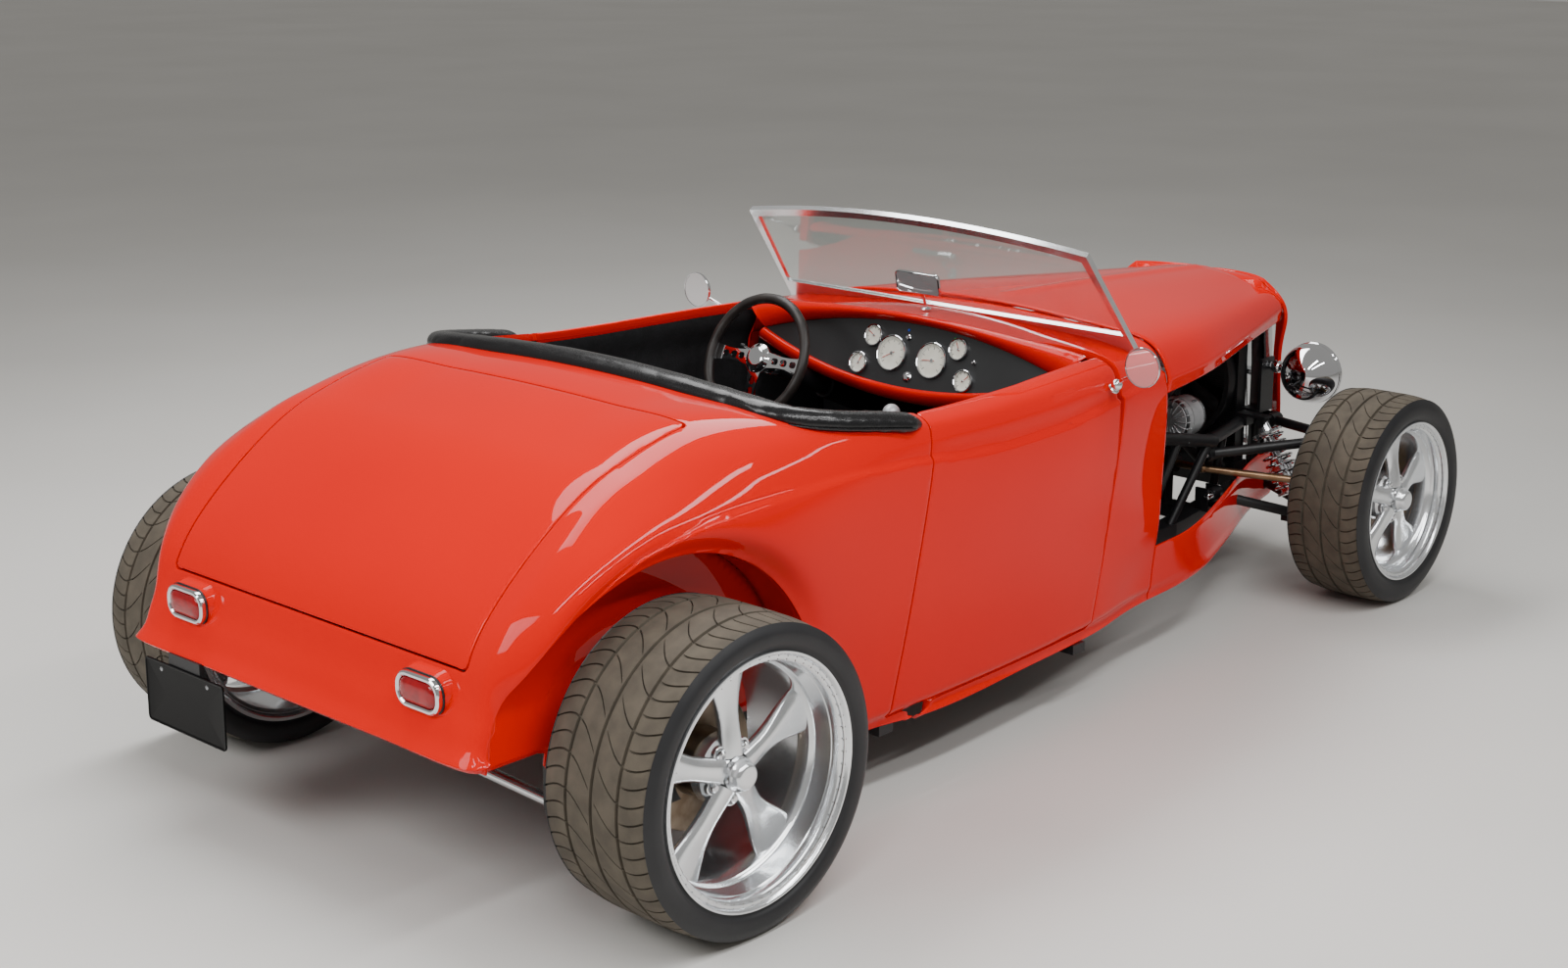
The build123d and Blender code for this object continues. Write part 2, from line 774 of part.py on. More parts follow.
def pivot_lugs(pivot, reach, low, high):
    """Two plates either side of a right-hand link's bush, out from the frame to its far side."""
    s, y, _ = pivot
    plates = Part()
    for side in (-1, 1):
        middle = s + side * (24 + curved_gap + 4)
        plates += box(middle - 4, middle + 4, y + 2, reach, low, high)
    return plates


# Places of the outriggers that carry the body's sills.
outrigger_rows = (720, 1480)

# Crossmembers of the ladder. Columns: s, height of the middle
cross_rows = [
    (frame_rear_s + 30, 450), (380, 450), (380, 220), (1700, 220), (rack_s, 220), (2985, 220),
]


def bay_tubes(side):
    """One side's tubes of the open bay (side is -1 or 1), with the upper front links' lugs."""
    y = side * bay_tube_y
    inset = -side * 30
    foot = rail_high - 5
    knee = (bay_front_s, y - side * 10, bay_front_z)
    nose = (2990, side * (front_rail_y - 7), 452)
    bay = rod((1890, y, 600), (bay_front_s, y, bay_front_z), tube_d)
    bay += rod((1890, y, 596), (1890, y + inset, foot), tube_d)
    bay += rod((2354, y, 498), (2225, y + inset, foot), tube_d - 12)
    bay += rod((2519, y, 466), (2370, y + inset, foot), tube_d - 12)
    bay += rod(knee, nose, tube_d)
    bay += Pos(at(knee[0]), knee[1], knee[2]) * Sphere(tube_d / 2 + 4)
    bay += rod((2660, side * 311, 459), (2660, side * 272, foot), tube_d - 12)
    bay += rod(nose, (2990, side * (front_rail_y - 22), foot), tube_d)
    upper = upper_links()
    plates = box(2805, 2845, -300, -262, 450, 486) + box(2805, 2845, -362, -262, 478, 486)
    plates += pivot_lugs(upper[0][0], -300, 394, 466)
    plates += pivot_lugs(upper[1][0], -234, 424, 458)
    bay += plates if side < 0 else other_side(plates)
    return bay - box(1800, frame_front_s + 20, -420, 420, rail_low, rail_high)


def frame_rails():
    """Box rails kicked up over the axle, with outriggers and lugs."""
    places = (rail_rear_s, 2380, frame_front_s)
    outer = [(s, -rail_half(s)) for s in places]
    inner = [(s, rail_w - rail_half(s)) for s in reversed(places)]
    right = plan_prism(outer + inner, rail_low, rail_high)
    right += box(rail_rear_s, rail_rear_s + 60, -rail_y, rail_w - rail_y, rail_low, kick_high)
    right += box(frame_rear_s, rail_rear_s + 60, -rail_y, rail_w - rail_y, kick_low, kick_high)
    right += box(-175, -125, -410, -300, 534, 544) + box(-175, -125, -340, -300, kick_high - 5, 544)
    right += box(2215, 2285, -300, -engine_half - curved_gap, rail_high - 5, 340)
    lower = lower_links()
    right += pivot_lugs(lower[0][0], -285, rail_high - 5, 305)
    right += pivot_lugs(lower[1][0], -225, 208, 256)
    for s in outrigger_rows:
        right += box(s - 25, s + 25, -640, 5 - rail_y, rail_low, body_rows[-2][2] - curved_gap)
    return both_sides(right) + box(-212, -168, 300, 336, 248, kick_low + 5)


def cross_members():
    """Crossmembers between the rails' inner faces, with the gearbox's pad on one."""
    members = Part()
    for s, z in cross_rows:
        near, far = rail_half(s - 30) - rail_w, rail_half(s + 30) - rail_w
        plan = [(s - 30, -near), (s + 30, -far), (s + 30, far), (s - 30, near)]
        members += plan_prism(plan, z - cross_h / 2, z + cross_h / 2)
    return members + box(1680, 1720, -60, 60, rail_high - 5, gearbox_low - curved_gap)


def floor_tub():
    """Cabin floor, tunnel, rear bulkhead and firewall, in bare panels."""
    top = floor_z + floor_t
    edge = [(s, -y) for s, y in floor_rows] + [(s, y) for s, y in reversed(floor_rows)]
    tub = plan_prism(edge, floor_z, top)
    tub += box(bulkhead_s, firewall_s + 12, -150, 150, floor_z, tunnel_z)
    tub += box(bulkhead_s, bulkhead_s + 12, -bulkhead_half, bulkhead_half, floor_z, 884)
    tub += box(firewall_s, firewall_s + 12, -firewall_half, firewall_half, floor_z, 848)
    return tub - box(bulkhead_s - 20, firewall_s + 20, -138, 138, floor_z - 5, tunnel_z - 12)


def seats():
    """Two low bucket seats: cushion and back, each a plain soft solid."""
    base = floor_z + floor_t + curved_gap
    cushion = box(560, 1040, -530, -165, base, seat_z)
    back = side_prism([(seat_back_s, base), (seat_back_s + 95, base), (seat_back_s + 60, 800),
                       (seat_back_s - 10, 800)], -530, -165)
    cushion -= box(500, seat_back_s + 96, -600, 0, 0, 900)
    return both_sides(fillet(cushion.edges().filter_by(Axis.Z), 30) + back)


dash_normal = (-math.cos(math.radians(dash_lean)), 0, math.sin(math.radians(dash_lean)))


def dash_plane():
    """The dash's back plane, with its x to the right and its y up."""
    return Plane(origin=(at(dash_s), 0, dash_z), x_dir=(0, -1, 0), z_dir=dash_normal)


def dash_panel():
    """Lens-shaped dash face, leaning back under the cowl."""
    upper = ThreePointArc((-dash_half, 6), (0, dash_up), (dash_half, 6))
    lower = ThreePointArc((-dash_half, -6), (0, -dash_down), (dash_half, -6))
    ends = [Line((-dash_half, 6), (-dash_half, -6)), Line((dash_half, 6), (dash_half, -6))]
    return extrude(dash_plane() * make_face([upper, lower] + ends), amount=dash_t)


# Gauges on the dash. Columns: y, height on the face, radius
gauge_rows = [
    (49, -7, 50), (-90, -8, 50), (123, 32, 31), (157, -48, 31), (-170, 34, 31), (-206, -46, 31),
    (-18, -63, 14),
]


def gauges():
    """Round instruments standing a little proud of the dash."""
    solids = Part()
    for y, height, radius in gauge_rows:
        place = dash_plane() * Pos(-y, height, dash_t)
        solids += place * Cylinder(radius, 9, align=(Align.CENTER, Align.CENTER, Align.MIN))
    return solids


def steering_plane(back):
    """The steering wheel's own plane, back along its shaft."""
    a = math.radians(wheel_rake)
    s, y, z = wheel_hub
    normal = (-math.cos(a), 0, math.sin(a))
    origin = (at(s) - back * math.cos(a), y, z + back * math.sin(a))
    return Plane(origin=origin, x_dir=(0, 1, 0), z_dir=normal)


def steering_wheel():
    """Rim, three spokes, boss and cap on a short shaft."""
    plane = steering_plane(0)
    solid = plane * Torus(wheel_rim_r, wheel_rim_d / 2)
    solid += plane * Pos(0, 0, -34) * Cylinder(34, 40)
    solid += plane * Pos(0, 0, -8) * Cylinder(30, 16)
    for angle in (0, 90, 180):
        spoke = Pos(wheel_rim_r / 2 + 8, 0, -12) * Box(wheel_rim_r - 16, 46, 7)
        solid += plane * Rot(0, 0, angle) * spoke
    shaft = plane * Pos(0, 0, -54) * Cylinder(9, 90, align=(Align.CENTER, Align.CENTER, Align.MAX))
    return solid + shaft


def steering_column():
    """Column tube round the wheel's shaft, run down to the firewall."""
    plane = steering_plane(0)
    a = math.radians(wheel_rake)
    reach = firewall_s - curved_gap - wheel_hub[0] - foot_column_d / 2 * math.sin(a)
    length = reach / math.cos(a) - 62
    top = (Align.CENTER, Align.CENTER, Align.MAX)
    tube = plane * Pos(0, 0, -62) * Cylinder(column_d / 2, length, align=top)
    tube += plane * Pos(0, 0, -62 - length / 2) * Cylinder(foot_column_d / 2, length / 2, align=top)
    bore = plane * Pos(0, 0, -50) * Cylinder(9 + curved_gap, 110, align=top)
    return tube - bore


def gear_lever():
    """Floor lever with a round knob on the tunnel."""
    knob_s, knob_y, knob_z = gear_knob
    base = (knob_s - 60, knob_y, tunnel_z + 14)
    solid = rod((knob_s - 60, knob_y, tunnel_z), base, 110)
    solid += rod(base, gear_knob, 14)
    return solid + Pos(at(knob_s), knob_y, knob_z) * Sphere(24)


def pad_path():
    """Right to left along the cockpit's rear edge, on the body's skin."""
    right = [(pad_end_s, -690, 886), (620, -668, 908), (474, -636, 930), (pad_rear_s, -500, 952)]
    left = [(s, -y, z) for s, y, z in reversed(right)]
    return right + [(pad_rear_s - 4, 0, 977)] + left


def cockpit_pad():
    """Padded roll round the back of the cockpit, resting on the skin."""
    points = pad_path()
    radii = [150, 90, 70, 900, 70, 90, 150]
    path = FilletPolyline(*[(at(p[0]), p[1], p[2]) for p in points], radius=radii)
    plane = Plane(origin=path @ 0, z_dir=path % 0, x_dir=(0, 0, 1))
    roll = sweep(plane * Ellipse(pad_h / 2, pad_w / 2), path=path)
    return roll - under_skin(body_rows[:3], curved_gap)


def screen_plane():
    """The windscreen's plane: x across, y up the glass from its foot."""
    a = math.radians(screen_rake)
    normal = (math.cos(a), 0, math.sin(a))
    return Plane(origin=(at(screen_s), 0, screen_z), x_dir=(0, 1, 0), z_dir=normal)


def screen_outline(inset, foot):
    """Screen outline: slanted posts and an arched top, taken in by inset."""
    low_half = screen_low_half - inset
    high_half = screen_high_half - inset
    corner = screen_corner - inset
    top = ThreePointArc((-high_half, corner), (0, screen_crown - inset), (high_half, corner))
    sides = [
        Line((-high_half, corner), (-low_half, foot)),
        Line((-low_half, foot), (low_half, foot)),
        Line((low_half, foot), (high_half, corner)),
    ]
    return make_face([top] + sides)


def windscreen():
    """Polished frame seated on the cowl, and the glass inside it."""
    plane = screen_plane()
    frame = extrude(plane * screen_outline(0, -110), amount=screen_t / 2, both=True)
    frame -= extrude(plane * screen_outline(screen_rail, 0), amount=screen_t, both=True)
    frame -= under_skin(body_rows[4:], 0)
    frame -= box(1560, 1990, -400, 400, 600, 800)
    frame = frame.solids().sort_by(SortBy.VOLUME)[-1]
    glass = extrude(plane * screen_outline(screen_rail + curved_gap, curved_gap), amount=glass_t / 2, both=True)
    return frame, glass


def door_mirrors():
    """Right-hand outer mirror: ball foot, arm and round head."""
    s, y, z = mirror_head
    foot = mirror_foot
    arm = rod(foot, (s + 14, y + 10, z - 20), 9)
    ball = Pos(at(foot[0]), foot[1], foot[2]) * Sphere(15)
    head = rod((s - 8, y, z), (s + 12, y, z), 104)
    back = Pos(at(s) + 12, y, z) * Sphere(26)
    return arm + ball + head + back


def inside_mirror():
    """Rectangular mirror on a stalk from the cowl."""
    s, y, z = inner_mirror
    head = Pos(at(s), y, z) * Rot(0, -12, 0) * Box(14, 150, 62)
    stalk = rod((s + 4, y, z - 20), (s + 34, y, cowl_top_z + curved_gap), 9)
    foot = rod((s + 34, y, cowl_top_z + curved_gap), (s + 34, y, cowl_top_z + 8), 30)
    return head + stalk + foot


def headlights():
    """Bullet shells on stands, and their lenses."""
    centre = Pos(at(headlight_s), -headlight_y, headlight_z)
    bulb = Sphere(headlight_r) & Pos(-headlight_r, 0, 0) * Box(2 * headlight_r + 40, 400, 400)
    bulb += Pos(14, 0, 0) * Rot(0, 90, 0) * Cylinder(headlight_r, 16)
    bulb -= Pos(22, 0, 0) * Rot(0, 90, 0) * Cylinder(headlight_r - 8, 24)
    shell = centre * bulb
    shell += rod((headlight_s - 6, -headlight_y + headlight_r - 6, headlight_z + 4),
                 (headlight_s - 6, -front_rail_y - 60, headlight_z + 4), 22)
    shell += Pos(at(headlight_s) - 6, -headlight_y + headlight_r + 22, headlight_z + 4) * Sphere(21)
    lens = centre * Pos(14, 0, 0) * Rot(0, 90, 0) * Cylinder(headlight_r - 8 - curved_gap, 8)
    return both_sides(shell), both_sides(lens)


def lamp_stands():
    """Black brackets on the upper front tubes, one up to each headlight."""
    y = -front_rail_y - 60
    foot = bay_front_z + 12.4
    stand = box(headlight_s - 57, headlight_s + 14, y, y + 10, foot, headlight_z + 30)
    stand += box(headlight_s - 57, headlight_s + 14, y, -front_rail_y + 7, foot, foot + 8)
    return both_sides(stand)


def tail_lamps():
    """Rounded lamps standing on the tail panel: bezels and lenses."""
    plane = Plane(origin=(at(lamp_s), -lamp_y, lamp_z), x_dir=(0, 1, 0), z_dir=(-1, 0, 0))
    bezel = extrude(plane * RectangleRounded(lamp_w, lamp_h, lamp_corner), amount=-80)
    inner = lamp_corner - 11
    recess = extrude(plane * RectangleRounded(lamp_w - 22, lamp_h - 22, inner), amount=-10)
    lens = extrude(plane * Pos(0, 0, -1) * RectangleRounded(lamp_w - 22.6, lamp_h - 22.6, inner - curved_gap), amount=-9)
    bezel = bezel - recess - tail_solid()
    bezel = bezel.solids().sort_by(SortBy.VOLUME)[-1]
    return both_sides(bezel), both_sides(lens)


def tail_solid():
    """Everything inside the tail's outer skin, between the lower fan sections."""
    faces = []
    for row in tail_rows[:4]:
        outer, foot = body_section(row[1:], 0, 0)
        closed = make_face(outer + [Line(foot, (-foot[0], foot[1]))])
        faces.append(section_plane(tilt=row[0]) * closed)
    return Pos(-curved_gap, 0, 0) * loft(faces, ruled=True)


def number_plate():
    """Blank plate under the tail's left side, on a bent bracket."""
    x = -rear_overhang + 2
    plate = box(x, x + 4, plate_y - 152, plate_y + 152, plate_z - 76, plate_z + 76)
    bracket = box(x + 4, x + 16, plate_y - 60, plate_y + 60, plate_z - 40, pivot_z - curved_gap)
    return plate + bracket


def engine():
    """Eight-cylinder engine as a block with heads and covers, its front drive and intake."""
    s0, s1 = engine_s0, engine_s1
    block = box(s0, s1, -engine_half, engine_half, 300, 640)
    for side in (-1, 1):
        head = Box(s1 - s0 - 90, head_w, head_h)
        block += Pos(at((s0 + s1) / 2 - 15), side * head_y, head_z) * Rot(side * -head_tilt, 0, 0) * head
    block += box(s0 - 60, s0, -190, 190, 330, 640)
    drive = rod((s1, 0, 470), (s1 + 42, 0, 470), 150)
    drive += rod((s1, 0, 582), (s1 + 58, 0, 582), 130)
    drive += rod((s1 - 56, -262, 528), (s1 + 40, -262, 528), 120)
    drive += rod((s1, -262, 528), (s1 + 62, -262, 528), 60)
    drive += rod((s1 - 54, 250, 540), (s1 + 56, 250, 540), 110)
    drive += box(s1, s1 + 22, -300, 300, 500, 580)
    top = box(s0 + 40, s1 - 30, -95, 95, 640, 760)
    top += rod((s1 - 30, 0, 705), (s1 + 110, 0, 705), 96)
    top += rod((s0 + 240, 0, 760), (s0 + 240, 0, 826), 300)
    heads = top - block
    return block, drive, heads.solids().sort_by(SortBy.VOLUME)[-1]


def exhaust():
    """Header tubes each side and two pipes with silencers under the floor."""
    s0 = engine_s0
    right = Part()
    a = math.radians(head_tilt)
    port = (head_y + head_w / 2 * math.cos(a), head_z - head_w / 2 * math.sin(a))
    near = (port[0] + curved_gap * math.cos(a), port[1] - curved_gap * math.sin(a))
    far = (port[0] + 78 * math.cos(a), port[1] - 78 * math.sin(a))
    for i in range(4):
        s = s0 + 40 + i * 108
        right += rod((s, -near[0], near[1]), (s, -far[0], far[1]), 42)
        right += Pos(at(s), -far[0], far[1]) * Sphere(21)
        right += rod((s, -far[0], far[1]), (s0 + 10, -292, 404), 42)
    run = [(s0 + 40, -292, 410), (s0 + 5, -240, 262), (s0 - 60, -215, 150), (520, -212, 145)]
    for start, end in zip(run, run[1:]):
        right += rod(start, end, 60)
        right += Pos(at(start[0]), start[1], start[2]) * Sphere(30)
    right += rod((1270, -212, 146), (760, -212, 145.5), 124)
    hanger = box(1000, 1030, -(rail_y - rail_w - curved_gap), -262, rail_low + 4, rail_low + 24)
    return both_sides(right + hanger)


def radiator():
    """Core between tanks on two feet, with a round fan and its shroud behind it."""
    core = box(2900, 2950, -205, 205, 300, radiator_high - 35)
    core += box(2892, 2958, -212, 212, radiator_high - 35, radiator_high)
    core += box(2892, 2958, -212, 212, 262, 300)
    core += both_sides(box(2900, 2950, -212, -192, rail_high + curved_gap, 262))
    shroud = rod((2900, 0, 560), (2850, 0, 560), 400) - rod((2899, 0, 560), (2840, 0, 560), 380)
    fan = rod((2900 - curved_gap, 0, 560), (2862, 0, 560), 110)
    for i in range(6):
        blade = Rot(i * 60, 0, 0) * Pos(0, 0, 110) * Rot(0, 0, 25) * Box(6, 56, 130)
        fan += Pos(at(2879), 0, 560) * blade
    return core + shroud + (fan - box(2899.7, 2960, -300, 300, 300, 800))


def driveline():
    """Gearbox behind the engine and the shaft back to the final drive."""
    box_s = engine_s0 - 60
    rear = box_s - 620
    gearbox = side_prism([(rear, gearbox_low), (box_s, gearbox_low), (box_s, 378), (rear, 358)], -105, 105)
    return gearbox + rod((rear, 0, 318), (150.8, 0, rear_tyre_r), 76)


def rear_axle():
    """Live axle: final drive, tubes, hub spindles, calipers and brackets."""
    z = rear_tyre_r
    wheel = both_wheels(False)
    step = wheel["w"] / 2 - flange_in - wheel["spoke_in"]
    end = wheel["y"] + step - 18 - curved_gap
    flange_y = wheel["y"] + disc_plane - 30
    axle = rod((0, -flange_y, z), (0, flange_y, z), 76)
    axle += rod((0, -end, z), (0, end, z), 2 * (bore_r - curved_gap))
    axle += Pos(at(0), 0, z) * Sphere(130)
    axle += rod((0, 0, z), (150, 0, z), 110)
    right = caliper(wheel, -1)
    right += rod((0, 14 - flange_y, z), (0, 2 - flange_y, z), 170)
    right += box(-160, -60, -flange_y - 10, -flange_y + 12, z - 30, z + 30)
    right += box(-85, 15, -455, -425, 225, 246) + box(-15, 15, -455, -425, 225, z)
    right += box(10, 60, -486, -454, 250, z)
    right += box(-15, 60, -215, -185, z, 400)
    axle += both_sides(right)
    return axle + box(-205, 10, -512, -500.3, 215, z)


# Right-hand trailing bars, as axle end, frame end and the run of each eye across the car.
# Columns: axle end, frame end, axle eye's y from and to, frame eye's y from and to
trailing_rows = [
    ((68, -470, 270), (400, -362, 197), -486, -454, -380, -340.3),
    ((80, -200, 384), (380, -260, 400), -215, -185, -279.7, -240),
]


def rear_links():
    """Trailing bars each side, from the axle to the foot of the frame's kick-up."""
    bars = Part()
    for low, high, low_0, low_1, high_0, high_1 in trailing_rows:
        bars += rod(low, high, arm_d)
        bars += rod((low[0], low_0, low[2]), (low[0], low_1, low[2]), 40)
        bars += rod((high[0], high_0, high[2]), (high[0], high_1, high[2]), 40)
    bars -= box(-50, 60.3, -600, 0, 150, 500)
    return both_sides(bars)


def track_bar():
    """Crosswise bar behind the axle, from the right of the axle to the left rail's lug."""
    return rod((-190, -499.5, 232), (-190, 299.2, 266), 26)


def coilovers():
    """Spring and damper units: rear ones upright, front ones leaning in."""
    units = Part()
    for low, high in (
        ((-70, -440, 250), (-150, -395, 530)),
        ((wheelbase - 20, -486, spring_seat_z + 6.5), (wheelbase - 20, -340, 471.5)),
    ):
        units += rod(low, high, 24)
        a = tuple(low[i] + (high[i] - low[i]) * 0.22 for i in range(3))
        b = tuple(low[i] + (high[i] - low[i]) * 0.86 for i in range(3))
        units += rod(a, b, 74)
    return both_sides(units)


body_band = body_loft()
body_shell, deck_lid, door_right = body_parts()
screen_frame, screen_glass = windscreen()
headlight_shells, headlight_lenses = headlights()
lamp_bezels, lamp_lenses = tail_lamps()
engine_block, engine_drive, engine_top = engine()
right_apron = apron()
right_knuckle = knuckle()
parts = {
    "body_shell": body_shell,
    "deck_lid": deck_lid,
    "hood": hood(),
    "grille_shell": grille_shell(),
    "grille_bars": grille_bars(),
    "side_aprons": both_sides(right_apron),
    "door_right": door_right,
    "door_left": other_side(door_right),
    "mirror_right": door_mirrors(),
    "mirror_left": other_side(door_mirrors()),
    "inside_mirror": inside_mirror(),
    "windscreen_frame": screen_frame,
    "windscreen_glass": screen_glass,
    "dash_panel": dash_panel(),
    "gauges": gauges(),
    "steering_wheel": steering_wheel(),
    "steering_column": steering_column(),
    "gear_lever": gear_lever(),
    "cockpit_pad": cockpit_pad(),
    "seats": seats(),
    "floor_tub": floor_tub(),
    "frame_rails": frame_rails(),
    "cross_members": cross_members(),
    "bay_tubes": bay_tubes(-1) + bay_tubes(1),
    "headlight_shells": headlight_shells,
    "headlight_lenses": headlight_lenses,
    "headlight_stands": lamp_stands(),
    "tail_lamp_bezels": lamp_bezels,
    "tail_lamp_lenses": lamp_lenses,
    "number_plate": number_plate(),
    "engine_block": engine_block,
    "engine_drive": engine_drive,
    "engine_top": engine_top,
    "exhaust": exhaust(),
    "radiator": radiator(),
    "driveline": driveline(),
    "rear_axle": rear_axle(),
    "rear_links": rear_links(),
    "track_bar": track_bar(),
    "coilovers": coilovers(),
    "control_arms": both_sides(links()),
    "knuckle_right": right_knuckle,
    "knuckle_left": other_side(right_knuckle),
    "steering_rods": steering_rods(),
    "steering_rack": steering_rack(),
}
for end, wheel in (("front", both_wheels(True)), ("rear", both_wheels(False))):
    rubber = tyre(wheel)
    alloy, disc = rim(wheel)
    parts[f"tyre_{end}_right"] = rubber
    parts[f"tyre_{end}_left"] = other_side(rubber)
    parts[f"rim_{end}_right"] = alloy + disc
    parts[f"rim_{end}_left"] = other_side(alloy + disc)

os.makedirs("parts", exist_ok=True)
for name, shape in parts.items():
    export_step(shape, f"parts/{name}.step")
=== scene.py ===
import json
import math

import bmesh
import bpy
import numpy as np
from mathutils import Matrix

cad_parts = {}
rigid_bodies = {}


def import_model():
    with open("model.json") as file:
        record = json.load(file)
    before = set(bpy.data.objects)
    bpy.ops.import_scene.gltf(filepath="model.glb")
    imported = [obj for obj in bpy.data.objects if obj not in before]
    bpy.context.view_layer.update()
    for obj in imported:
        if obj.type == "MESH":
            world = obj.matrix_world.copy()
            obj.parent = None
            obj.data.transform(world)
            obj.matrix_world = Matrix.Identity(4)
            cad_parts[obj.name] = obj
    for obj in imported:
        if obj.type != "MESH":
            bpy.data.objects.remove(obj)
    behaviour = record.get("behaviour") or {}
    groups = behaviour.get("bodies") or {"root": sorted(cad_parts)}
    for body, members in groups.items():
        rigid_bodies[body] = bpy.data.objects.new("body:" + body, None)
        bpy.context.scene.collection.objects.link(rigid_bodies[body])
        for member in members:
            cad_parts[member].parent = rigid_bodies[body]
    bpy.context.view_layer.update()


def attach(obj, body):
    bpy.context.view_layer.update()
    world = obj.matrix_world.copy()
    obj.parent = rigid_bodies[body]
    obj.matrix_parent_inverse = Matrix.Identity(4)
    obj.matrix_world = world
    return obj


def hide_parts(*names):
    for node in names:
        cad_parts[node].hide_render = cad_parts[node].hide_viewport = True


# Open two-seat kit car. Lengths in this script are mm until a mesh is made: s forward of the
# rear axle, y to the left, z up from the ground.
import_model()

car = {
    "rearAxleX": -1330.5, "wheelbase": 2845.0,
    "rearTrack": 1568.0, "frontTrack": 1432.0,
}


def placed(points):
    # Row of (s, y, z) in mm to metres in the car's own frame: x is s plus the rear axle's x.
    points = np.asarray(points, float)
    return (points + np.array([car["rearAxleX"], 0, 0])) / 1000


def linearOf(hexColour):
    # sRGB hex to linear colour with full alpha.
    v = np.array([int(hexColour[i:i + 2], 16) for i in (1, 3, 5)]) / 255
    v = np.where(v <= 0.04045, v / 12.92, ((v + 0.055) / 1.055) ** 2.4)
    return (*[float(c) for c in v], 1.0)


def smoothStep(x):
    # 0 below 0, 1 above 1, with an S-shaped rise between.
    x = np.clip(x, 0, 1)
    return x * x * (3 - 2 * x)


def addNode(tree, kind, settings=None, links=None):
    # Adds one node, sets its own settings or its sockets' values, and links its inputs.
    node = tree.nodes.new(kind)
    for key, value in (settings or {}).items():
        if isinstance(key, str) and hasattr(node, key):
            setattr(node, key, value)
        else:
            node.inputs[key].default_value = value
    for key, output in (links or {}).items():
        tree.links.new(output, node.inputs[key])
    return node


finishes = {}


def makeFinish(name, colour, second=None, metallic=0.0, rough=(0.4, 0.5), cloud=120.0, grain=1.5,
               depth=0.0, stretch=(1, 1, 1), constants=None, wrinkle=None):
    # A material from object coordinates: cloud (mm) mixes two shades, grain (mm) moves the
    # roughness between two values and lifts the surface by depth (mm); stretch draws the grain
    # out into brush marks; wrinkle is a second, larger (mm, depth) relief.
    material = bpy.data.materials.new(name)
    material.use_nodes = True
    tree = material.node_tree
    shader = tree.nodes["Principled BSDF"]
    spot = addNode(tree, "ShaderNodeTexCoord")
    drawn = addNode(tree, "ShaderNodeMapping", {"Scale": stretch}, {"Vector": spot.outputs["Object"]})
    clouds = addNode(tree, "ShaderNodeTexNoise", {"Scale": 1000 / cloud, "Detail": 3.0},
                     {"Vector": spot.outputs["Object"]})
    fine = addNode(tree, "ShaderNodeTexNoise", {"Scale": 1000 / grain, "Detail": 2.0},
                   {"Vector": drawn.outputs["Vector"]})
    shades = addNode(tree, "ShaderNodeValToRGB", links={"Fac": clouds.outputs["Fac"]})
    shades.color_ramp.elements[0].position, shades.color_ramp.elements[1].position = 0.35, 0.68
    shades.color_ramp.elements[0].color = linearOf(colour)
    shades.color_ramp.elements[1].color = linearOf(second or colour)
    tree.links.new(shades.outputs["Color"], shader.inputs["Base Color"])
    spread = addNode(tree, "ShaderNodeMapRange", {"From Min": 0.3, "From Max": 0.7, "To Min": rough[0],
                     "To Max": rough[1]}, {"Value": fine.outputs["Fac"]})
    tree.links.new(spread.outputs["Result"], shader.inputs["Roughness"])
    normal = None
    if wrinkle:
        large = addNode(tree, "ShaderNodeTexNoise", {"Scale": 1000 / wrinkle[0], "Detail": 1.0},
                        {"Vector": drawn.outputs["Vector"]})
        normal = addNode(tree, "ShaderNodeBump", {"Distance": wrinkle[1] / 1000, "Strength": 1.0},
                         {"Height": large.outputs["Fac"]})
    if depth:
        links = {"Height": fine.outputs["Fac"]}
        if normal:
            links["Normal"] = normal.outputs["Normal"]
        normal = addNode(tree, "ShaderNodeBump", {"Distance": depth / 1000, "Strength": 1.0}, links)
    if normal:
        tree.links.new(normal.outputs["Normal"], shader.inputs["Normal"])
    shader.inputs["Metallic"].default_value = metallic
    for key, value in (constants or {}).items():
        shader.inputs[key].default_value = value
    finishes[name] = material
    return material


# Sprayed and clear-coated enamel: deep orange-red under a wet gloss.
makeFinish("redEnamelClearcoated", "#d90800", "#e00c00", rough=(0.42, 0.5), cloud=900, grain=4,
           constants={"Coat Weight": 1.0, "Coat Roughness": 0.015, "Coat IOR": 1.26,
                      "Specular IOR Level": 0.0})
# Cast aluminium polished by hand: bright and a little soft, with faint rub marks.
makeFinish("aluminiumPolished", "#eceef0", "#e2e5e8", 0.9, rough=(0.14, 0.24), cloud=60, grain=3)
# Chrome plate on steel: a near mirror.
makeFinish("chromePlated", "#e6e7e9", "#dddee1", 1.0, rough=(0.03, 0.06), cloud=200, grain=5)
# Moulded tyre rubber, dressed: dark with a low sheen.
makeFinish("rubberMoulded", "#17171a", "#1f1f21", rough=(0.42, 0.58), cloud=90, grain=1.2, depth=0.05)
# Used tread rubber with a film of dust: brown-grey and matt.
makeFinish("rubberTreadDusty", "#4b443a", "#5a5246", rough=(0.8, 0.95), cloud=45, grain=1.6, depth=0.12)
# Powder-coated steel tube: satin black.
makeFinish("steelPowderBlack", "#121214", "#18181b", rough=(0.35, 0.5), cloud=150, grain=1.5, depth=0.04)
# Calendered vinyl over foam: black, with a fine pebble and soft creases.
makeFinish("vinylGrained", "#131316", "#1b1b1f", rough=(0.34, 0.5), cloud=80, grain=2.2, depth=0.12,
           wrinkle=(38, 2.2))
# Vinyl drawn tight over a roll and dressed: blacker and shinier, with a few long creases.
makeFinish("vinylDressed", "#0d0d0f", "#121214", rough=(0.2, 0.32), cloud=80, grain=2.2, depth=0.04,
           wrinkle=(95, 4.0))
